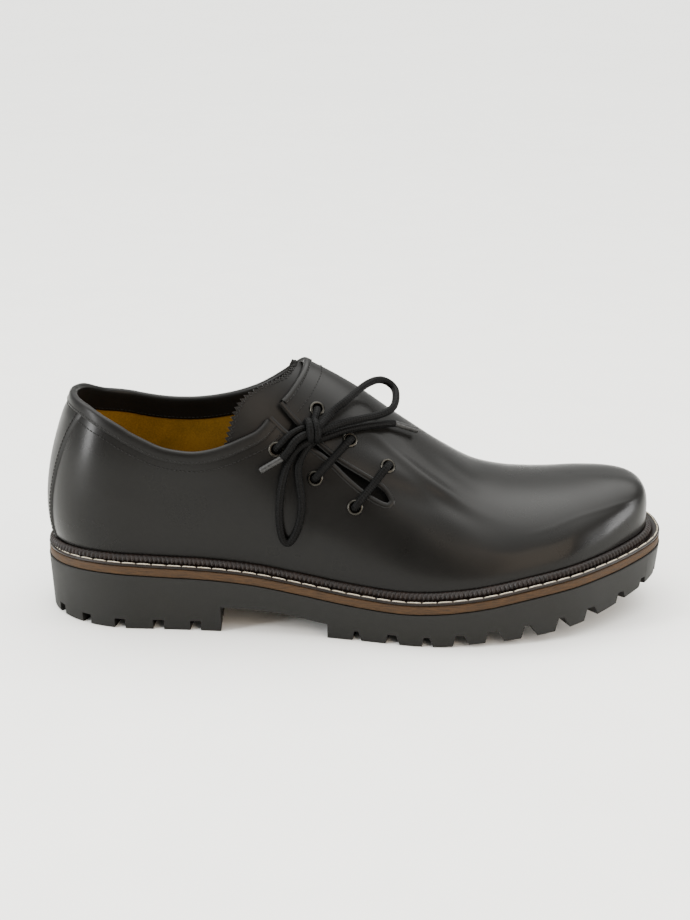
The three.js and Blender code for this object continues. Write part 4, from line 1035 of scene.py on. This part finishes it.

# %% [markdown]
# ## The tongue
# The tongue lies under the flap and rises behind it. Its rear edge is pinked, cut into small teeth, which
# is the ornament of this kind of shoe. It is a thin sheet laid inside the upper, black outside and ochre
# inside, with the teeth as alternate points of its edge row. Where it dips deep under the slot, its
# outside is coloured near-black and dull as painted shade.

# %% Tongue
tongue_rear = columns(
    "at place",
    (0.000, 0.2910), (0.075, 0.2970), (0.190, 0.3100), (0.264, 0.3246), (0.345, 0.3496),
    (0.468, 0.3850), (0.580, 0.3990), (0.700, 0.4050), (0.850, 0.4020), (1.000, 0.3950),
)
tongue_low_rows = columns("at low", (0.29, 0.40), (0.40, 0.36), (0.50, 0.31), (0.60, 0.31))
tongue_high, tongue_front = 1.25, 0.6
pinking_teeth, pinking_depth = 42, 1.7
tongue_columns, tongue_rows = 4 * pinking_teeth + 1, 40


def tongue_places(behind):
    """Stations and rises of a row of the tongue, a share of the way from the rear edge to its front."""
    across = np.linspace(0, 1, tongue_columns)
    tooth = np.abs((np.arange(tongue_columns) / 2) % 2 - 1) * pinking_depth / sole_length
    rear = along(tongue_rear, "place", across)
    at = rear + tooth * (1 - behind) ** 12 + (tongue_front - rear) * behind
    low = along(tongue_low_rows, "low", at)
    return station_at(at), low + (tongue_high - low) * across


tongue_grid = [tongue_places(t**1.5) for t in np.linspace(0, 1, tongue_rows)]
tongue_k, tongue_up = (np.array(part) for part in zip(*tongue_grid))
tongue_top = -wall - tongue_gap
dip_depth, dip_at, dip_up, dip_long, dip_wide = 3.4, 0.47, 0.49, 0.07, 0.13
tongue_dip = dip_depth * np.exp(
    -(((share(reach(tongue_k)[0]) - dip_at) / dip_long) ** 2) - ((tongue_up - dip_up) / dip_wide) ** 2)
outer_face = skin(tongue_k, tongue_up, tongue_top - tongue_dip)
inner_face = skin(tongue_k, tongue_up, tongue_top - tongue_dip - tongue_thickness)
face_quads = np.array(grid_faces(tongue_rows, tongue_columns))
# Faces deep under the slot get the painted shade calf, a painted shade inside the slot.
shaded_slot_faces = 2 * (tongue_dip.ravel()[face_quads[:, 0]] > 0.8)
offset = tongue_k.size
edge_quads = [[i, i + 1, offset + i + 1, offset + i] for i in range(tongue_columns - 1)]
make(
    "pinked_tongue",
    np.concatenate([outer_face.reshape(-1, 3), inner_face.reshape(-1, 3)]),
    face_quads.tolist() + (face_quads[:, ::-1] + offset).tolist() + edge_quads,
    [trim_calf, lining_hide, painted_shade_calf], ["tongue"],
    face_material=np.r_[shaded_slot_faces, np.ones(len(face_quads)), np.zeros(len(edge_quads))].astype(int),
)

# %% [markdown]
# ## Stitches
# A seam reads as a row of short threads that dip into the leather at both ends. Each stitch is a small
# six-sided thread that swells in the middle, and one mesh holds a whole row. Black thread runs along the
# binding, the tongue, the back strip and the inner side's seam, and coarse linen along the welt.

# %% Rows of stitches
stitch_shape = columns(
    "along size high",
    (0.00, 0.40, -0.3), (0.07, 0.85, 0.2), (0.25, 1.00, 0.4), (0.75, 1.00, 0.4), (0.93, 0.85, 0.2),
    (1.00, 0.40, -0.3),
)
stitch_sides = 6


def stitches(name, line, out, pitch, length, width, thread):
    """A row of stitches along a line of points, raised towards out."""
    run = line_length(line)
    count = max(int(run[-1] / pitch), 1)
    starts = (np.arange(count) + 0.5) * run[-1] / count - length / 2
    where = starts[:, None] + stitch_shape["along"] * length
    centre = np.stack([np.interp(where, run, line[:, i]) for i in range(3)], -1)
    up_way = unit(np.stack([np.interp(where, run, out[:, i]) for i in range(3)], -1))
    way = unit(np.gradient(centre, axis=1))
    side = unit(np.cross(way, up_way))
    centre = centre + up_way * (stitch_shape["high"] * width)[None, :, None]
    turn = full_turn(stitch_sides)[None, None, :, None]
    size = (stitch_shape["size"] * width / 2)[None, :, None, None]
    points = centre[:, :, None] + size * (np.cos(turn) * side[:, :, None] + np.sin(turn) * up_way[:, :, None])
    one = np.array(grid_faces(len(stitch_shape["along"]), stitch_sides, around=True))
    per_stitch = len(stitch_shape["along"]) * stitch_sides
    faces = (one[None] + (np.arange(count) * per_stitch)[:, None, None]).reshape(-1, 4)[:, ::-1]
    return make(name, points, faces.tolist(), thread)


def fine_stitches(name, line, out):
    """A row of the fine black stitches that hold the leather."""
    return stitches(name, line, out, 2.0, 1.5, 0.42, black_thread)


def stitches_beside(name, line, depth, off):
    k, up, _ = line_frame(line)
    return fine_stitches(name, beside(line, depth, off), normal(k, up))


stitches_beside("stitches_binding", collar_line, 4.1 * binding_narrow, 0.5)
stitches_beside("stitches_collar", collar_line, 8.4, 0.0)
facing_line = beside(collar_line, facing_depth - 1.3, facing_off)
facing_k, facing_up, _ = line_frame(collar_line)
fine_stitches("stitches_facing", facing_line, -normal(facing_k, facing_up))
for side, column in (("inner", 2), ("outer", strip_columns - 3)):
    seam_k, seam_up = strip_k[:, column], strip_up[:, column]
    strip_line = skin(seam_k, seam_up, strip_off[:, column])
    fine_stitches("stitches_strip_" + side, strip_line, normal(seam_k, seam_up))
seam_behind, seam_end = 0.019, -12
tongue_line_k, tongue_line_up = (places[:seam_end] for places in tongue_places(seam_behind))
tongue_line = skin(tongue_line_k, tongue_line_up, tongue_top)
fine_stitches("stitches_tongue", tongue_line, normal(tongue_line_k, tongue_line_up))

# %% [markdown]
# ## The inner side's seam
# On the inner side the vamp laps over the quarter, and two rows of stitches hold it. The lap is a thin
# ribbon that rises half a millimetre and runs down and forward from the throat to the sole.

# %% Lap and its stitches
lap_rows = columns("at up", (0.402, 1.270), (0.440, 1.420), (0.480, 1.560), (0.515, 1.700), (0.540, 1.860))
lap_line = cut_line(lap_rows)
lap_section = [(-0.05, -0.1), (0.0, 0.35), (0.3, 0.5), (0.9, 0.5), (5.0, 0.25), (8.0, 0.0), (8.2, -0.2)]
ribbon("vamp_lap", lap_line, lap_section[::-1], calf)
stitches_beside("stitches_lap_edge", lap_line, 1.9, 0.42)
stitches_beside("stitches_lap", lap_line, 4.4, 0.3)

# %% [markdown]
# ## Welt, midsole and insole
# The welt is a leather strip sewn round the upper, with a ribbed ridge that keeps water out. Its white
# seam lies in the corner at the ridge's foot. The rings below go round at even distances, so that every
# rib is as wide as the next, and the midsole and insole are plates with softened edges.

# %% Even steps round the shoe
ring_fine = np.linspace(0, ring_stations, 24001)
ring_run = line_length(inset(ring_fine, welt_inset(ring_fine)))
rib_pitch, steps_per_rib = 2.1, 6
rib_count = int(round(ring_run[-1] / rib_pitch))
rib_steps = rib_count * steps_per_rib
welt_k = np.interp(np.arange(rib_steps) / rib_steps * ring_run[-1], ring_run, ring_fine)
print("welt:", round(ring_run[-1]), "mm round,", rib_count, "ribs")


def up_at_height(k, height):
    """Place up the wall that stands at a height over the seat."""
    base = seat(last(k, 0.0)[..., 0])
    return halving(np.zeros(len(k)), np.full(len(k), 0.9), lambda up: last(k, up)[..., 2] - base < height)


# %% Welt
def level_ring(k, distance, height, rise):
    """The outline moved inwards, at a rise over the sole, the deck or the seat."""
    plan = inset(k, distance)
    return np.concatenate([plan, (height(plan[..., 0]) + rise)[..., None]], -1)


def edge_ring(k, distance, rise):
    return level_ring(k, distance, seat, rise)


ridge_top = welt_thickness + storm_height
ribs = 1.15 * (np.abs(np.cos(np.pi * np.arange(rib_steps) / steps_per_rib)) ** 1.2 - 0.5)
flat_end = welt_inset(welt_k) - gap - storm_thickness
edge_profile = [
    (0.9, 0.0), (0.45, 0.25), (0.4, welt_thickness - 0.35), (0.75, welt_thickness),
    (np.maximum(flat_end - 0.7, 1.0), welt_thickness),
    (np.maximum(flat_end - 0.3, 1.4), welt_thickness - 0.5),
    (np.maximum(flat_end, 1.8), welt_thickness - 0.2),
]
ridge_out = gap + storm_thickness
lean_profile = [
    (welt_thickness + 0.5, ridge_out - 0.05 + 0.5 * ribs), (welt_thickness + 1.3, ridge_out + 0.05 + ribs),
    (welt_thickness + 2.1, ridge_out - 0.25 + ribs), (ridge_top - 0.6, ridge_out - 0.95 + 0.9 * ribs),
    (ridge_top - 0.15, gap + 0.8 + 0.6 * ribs), (ridge_top, gap + 0.1), (ridge_top - 0.5, 0.05), (0.0, 0.1),
]
welt_rings = [edge_ring(welt_k, distance, rise) for distance, rise in edge_profile]
welt_rings += [skin(welt_k, up_at_height(welt_k, height), off) for height, off in lean_profile]
welt_faces = grid_faces(len(welt_rings), rib_steps, around=True, closed=True)
weld(make("ribbed_welt", np.array(welt_rings), welt_faces, welt_hide, ["welt"]))
seam_inset = 1.5
seam_k = welt_k[::3]
seam_line = edge_ring(seam_k, seam_inset, welt_thickness - 0.1)
seam_line = np.concatenate([seam_line, seam_line[:1]])
seam_out = np.tile([0.0, 0.0, 1.0], (len(seam_line), 1))
stitches("stitches_welt", seam_line, seam_out, 7.1, 6.9, 0.62, white_thread)


# %% Plates between rings
def plate(name, rings, material, stands_for):
    """A plate with the given rings as its side, closed by strips from the outer to the inner side."""
    rings = np.array(rings)
    count = rings.shape[1]
    half = count // 2
    faces = grid_faces(len(rings), count, around=True)
    top = (len(rings) - 1) * count
    for i in range(half):
        mate, after = (count - i) % count, count - i - 1
        faces.append(list(dict.fromkeys([i, mate, after, i + 1])))
        faces.append(list(dict.fromkeys([top + i, top + i + 1, top + after, top + mate])))
    return weld(make(name, rings, faces, material, stands_for))


plate_k = np.arange(0, ring_stations, 0.125)
board_profile = [(1.0, 0.0), (0.5, 0.35), (0.4, 1.0), (0.4, 3.2), (0.5, 3.85), (1.0, midsole_thickness)]
board_rings = [level_ring(plate_k, distance, deck, rise) for distance, rise in board_profile]
plate("board_midsole", board_rings, leather_board, ["midsole"])
insole_inset = welt_inset(plate_k) + wall + 2 * gap
insole_profile = [
    (0.0, 0.0), (0.0, insole_thickness), (1.5, insole_thickness - 0.3), (6.0, insole_thickness - 0.7),
]
insole_rings = [edge_ring(plate_k, insole_inset + more, rise) for more, rise in insole_profile]
plate("insole_cover", insole_rings, lining_hide, ["insole"])

# %% [markdown]
# ## The lugged sole
# The rubber sole is moulded with deep lugs that break its edge into blocks, a heel block and an arch that
# clears the ground. It starts as a plate with the true outline. All cutters are joined into one mesh, and
# one exact boolean takes them out, then a narrow bevel softens the rims, because moulded rubber never
# has a knife edge and needs one to catch the light.

# %% Grooves of the sole
groove_rows = [
    # share along the sole, then mouth, roof, slant and height in mm
    (0.023, 5, 5, 0, 5), (0.068, 5, 5, 0, 5), (0.125, 5.4, 5.2, 0, 5), (0.187, 5.4, 5.2, 0, 5),
    (0.246, 5.2, 5, 0, 5), (0.499, 4.5, 2, 1, 5), (0.554, 7, 4, 1, 5), (0.608, 5, 2.5, 1.5, 5),
    (0.660, 7, 4, 2, 5.4), (0.712, 8, 4.5, 3, 6), (0.767, 7, 3, 3.5, 6.6), (0.822, 7, 3, 3.5, 6.8),
    (0.872, 8, 4.5, 3, 6.6), (0.925, 6.5, 3.5, 2, 6), (0.966, 6, 3, 1, 5.6), (0.993, 4.5, 3, 0, 5),
]
cross_grooves = [0.15, 0.54, 0.64, 0.74, 0.84]
arch_rows = columns("at roof", (0.287, 0.475), (0.370, 0.420), (0.455, 0.270))
heel_breast, tread_start = 0.287, 0.455
centre_lug, channel_width, channel_depth = 15.0, 4.0, 0.8 * lug_depth
past_edge, below_tread = 4.0, 2.0
cutter_points, cutter_faces = [], []


def add_cutter(rings, closed=False):
    """Adds rings of equal length to the cutters, with ends, or closed from the last to the first."""
    rings = np.array(rings)
    start, count = sum(len(p) for p in cutter_points), rings.shape[1]
    cutter_points.append(rings.reshape(-1, 3))
    faces = grid_faces(len(rings), count, around=True, closed=closed)
    if not closed:
        faces += [list(range(count))[::-1], list(range((len(rings) - 1) * count, len(rings) * count))]
    cutter_faces.extend([[start + i for i in face] for face in faces])


def add_groove(k, mouth, roof, slant, high):
    """A groove across the sole's edge: how wide at its mouth and roof, how slanted and how high."""
    edge_plan, inner_plan = inset(k, -past_edge), inset(k, centre_lug + channel_width / 2)
    inward = unit(inner_plan - edge_plan)
    across = np.array([inward[1], -inward[0]]) * (1 if k > 0 else -1)
    base = tread(inset(k, centre_lug / 2)[0])
    low = -below_tread
    corners = [(-mouth / 2, low), (-roof / 2, high), (roof / 2, high), (mouth / 2 + slant, low)]
    plans = (edge_plan, inner_plan)
    add_cutter([[[*(plan + across * side), base + z] for side, z in corners] for plan in plans])


for at, *form in groove_rows:
    k = float(station_at(at))
    add_groove(k, *form)
    add_groove(-k, *form)
for at in cross_grooves:
    x = heel_back + at * sole_length
    ends = [side * along(outline_rows, name, at) * ball_width - side * (centre_lug + channel_width / 2)
            for name, side in (("outer", -1), ("inner", 1))]
    half, low_z, roof_z = channel_width / 2, tread(x) - below_tread, tread(x) + channel_depth
    corners = [(-half, low_z), (-half, roof_z), (half, roof_z), (half, low_z)]
    add_cutter([[[x + dx, y, z] for dx, z in corners] for y in ends])
arch_points, arch_low = 13, -5.0
arch_at = np.linspace(heel_breast, tread_start, arch_points)
arch_line = [(heel_back + at * sole_length, along(arch_rows, "roof", at) * heel_height) for at in arch_at]
arch_line = [(arch_line[0][0], arch_low)] + arch_line + [(arch_line[-1][0], arch_low)]
add_cutter([[[x, y, z] for x, z in arch_line] for y in (-ball_width, ball_width)])

# %% Sole with its lugs cut
sole_profile = [(sole_taper, 0.0), (sole_taper - 0.5, 0.4)]
sole_rings = [level_ring(plate_k, distance, tread, rise) for distance, rise in sole_profile]
rim_profile = [(0.15, -1.2), (0.1, -0.7), (0.5, -gap)]
sole_rings += [level_ring(plate_k, distance, deck, rise) for distance, rise in rim_profile]
sole = plate("lugged_sole", sole_rings, lug_rubber, ["outsole"])
channel_edge = centre_lug + channel_width
channel_profile = [
    (centre_lug, -below_tread), (centre_lug, channel_depth), (channel_edge, channel_depth),
    (channel_edge, -below_tread),
]
add_cutter([level_ring(plate_k, distance, tread, rise) for distance, rise in channel_profile], closed=True)
cutter_mesh = bpy.data.meshes.new("cutters")
cutter_mesh.from_pydata(((np.concatenate(cutter_points) + shift) * metre).tolist(), [], cutter_faces)
cutters = weld(put_in_scene("cutters", cutter_mesh))
cut = sole.modifiers.new("lugs", "BOOLEAN")
cut.object, cut.operation, cut.solver, cut.use_self = cutters, "DIFFERENCE", "EXACT", True
soften = sole.modifiers.new("soft rims", "BEVEL")
rim_bevel = 0.35
soften.width, soften.segments, soften.limit_method = rim_bevel * metre, 2, "ANGLE"
soften.angle_limit, soften.harden_normals = np.radians(40), True
bpy.context.view_layer.update()
cut_sole = bpy.data.meshes.new_from_object(sole.evaluated_get(bpy.context.evaluated_depsgraph_get()))
sole.modifiers.clear()
sole.data = cut_sole
bpy.data.objects.remove(cutters)
print("sole:", len(sole.data.polygons), "faces after the cut")

# %% [markdown]
# ## Floor and light
# The shoe stands in a photographer's light tent: a pale floor, a bright ceiling, white walls behind and at
# the sides, and a darker front, where the camera looks in. The tent is the world's own light, so it is
# even all over the floor. Two upright soft lights give the gleams at heel and toe, and a broad warm one
# brightens the side from the front.

# %% Floor
floor_size = 8.0
floor_mesh = bpy.data.meshes.new("floor")
corners = [(x * floor_size, y * floor_size, 0.0) for x, y in ((-1, -1), (1, -1), (1, 1), (-1, 1))]
floor_mesh.from_pydata(corners, [], [(0, 1, 2, 3)])
floor_mesh.materials.append(mottled("studio_paper", "#e5e5e2", "#e8e8e5", 0.8, 400, 40, 0.02))
floor = put_in_scene("floor", floor_mesh)


# %% Lights
def soft_light(name, place, towards, size, power, colour="#ffffff"):
    data = bpy.data.lights.new(name, "AREA")
    data.shape, data.size, data.size_y = "RECTANGLE", size[0], size[1]
    data.energy, data.color = power, linear(colour)[:3]
    light = put_in_scene(name, data)
    way = Vector(towards) - Vector(place)
    light.matrix_world = Matrix.Translation(place) @ way.to_track_quat("-Z", "Y").to_matrix().to_4x4()
    print(name, "at", place, power, "W")


soft_light("left", (-1.42, -0.6, 0.56), (-0.1, 0, 0.06), (0.3, 1.1), 38)
soft_light("right", (1.45, -0.3, 0.34), (0.1, 0, 0.05), (0.3, 0.64), 18)
soft_light("warm_low", (0.95, -1.4, 0.7), (0.08, 0, 0.04), (1.1, 1.3), 23, "#ffead4")


# %% The tent
def dome_ramp(value, start, end, low=0.0, high=1.0):
    span = {0: value, 1: start, 2: end, 3: low, 4: high}
    return add(dome, "MapRange", span, interpolation_type="SMOOTHSTEP")


world = bpy.data.worlds.new("tent")
world.use_nodes = True
dome = world.node_tree
sky_way = dome.nodes.new("ShaderNodeSeparateXYZ")
dome.links.new(dome.nodes.new("ShaderNodeTexCoord").outputs["Generated"], sky_way.inputs[0])
sides = dome_ramp(sky_way.outputs[1], -0.6, 0.2, 0.35, 1.0)
panels = dome_ramp(sky_way.outputs[1], -0.5, 0.4, 2.6, 7.5)
ceiling = add(dome, "Math", {0: dome_ramp(sky_way.outputs[2], 0.5, 0.85), 1: panels}, operation="MULTIPLY")
strength = add(dome, "Math", {0: sides, 1: ceiling}, operation="ADD")
panel = dome.nodes["Background"]
panel.inputs["Color"].default_value = linear("#fbfbf8")
dome.links.new(strength, panel.inputs["Strength"])
bpy.context.scene.world = world
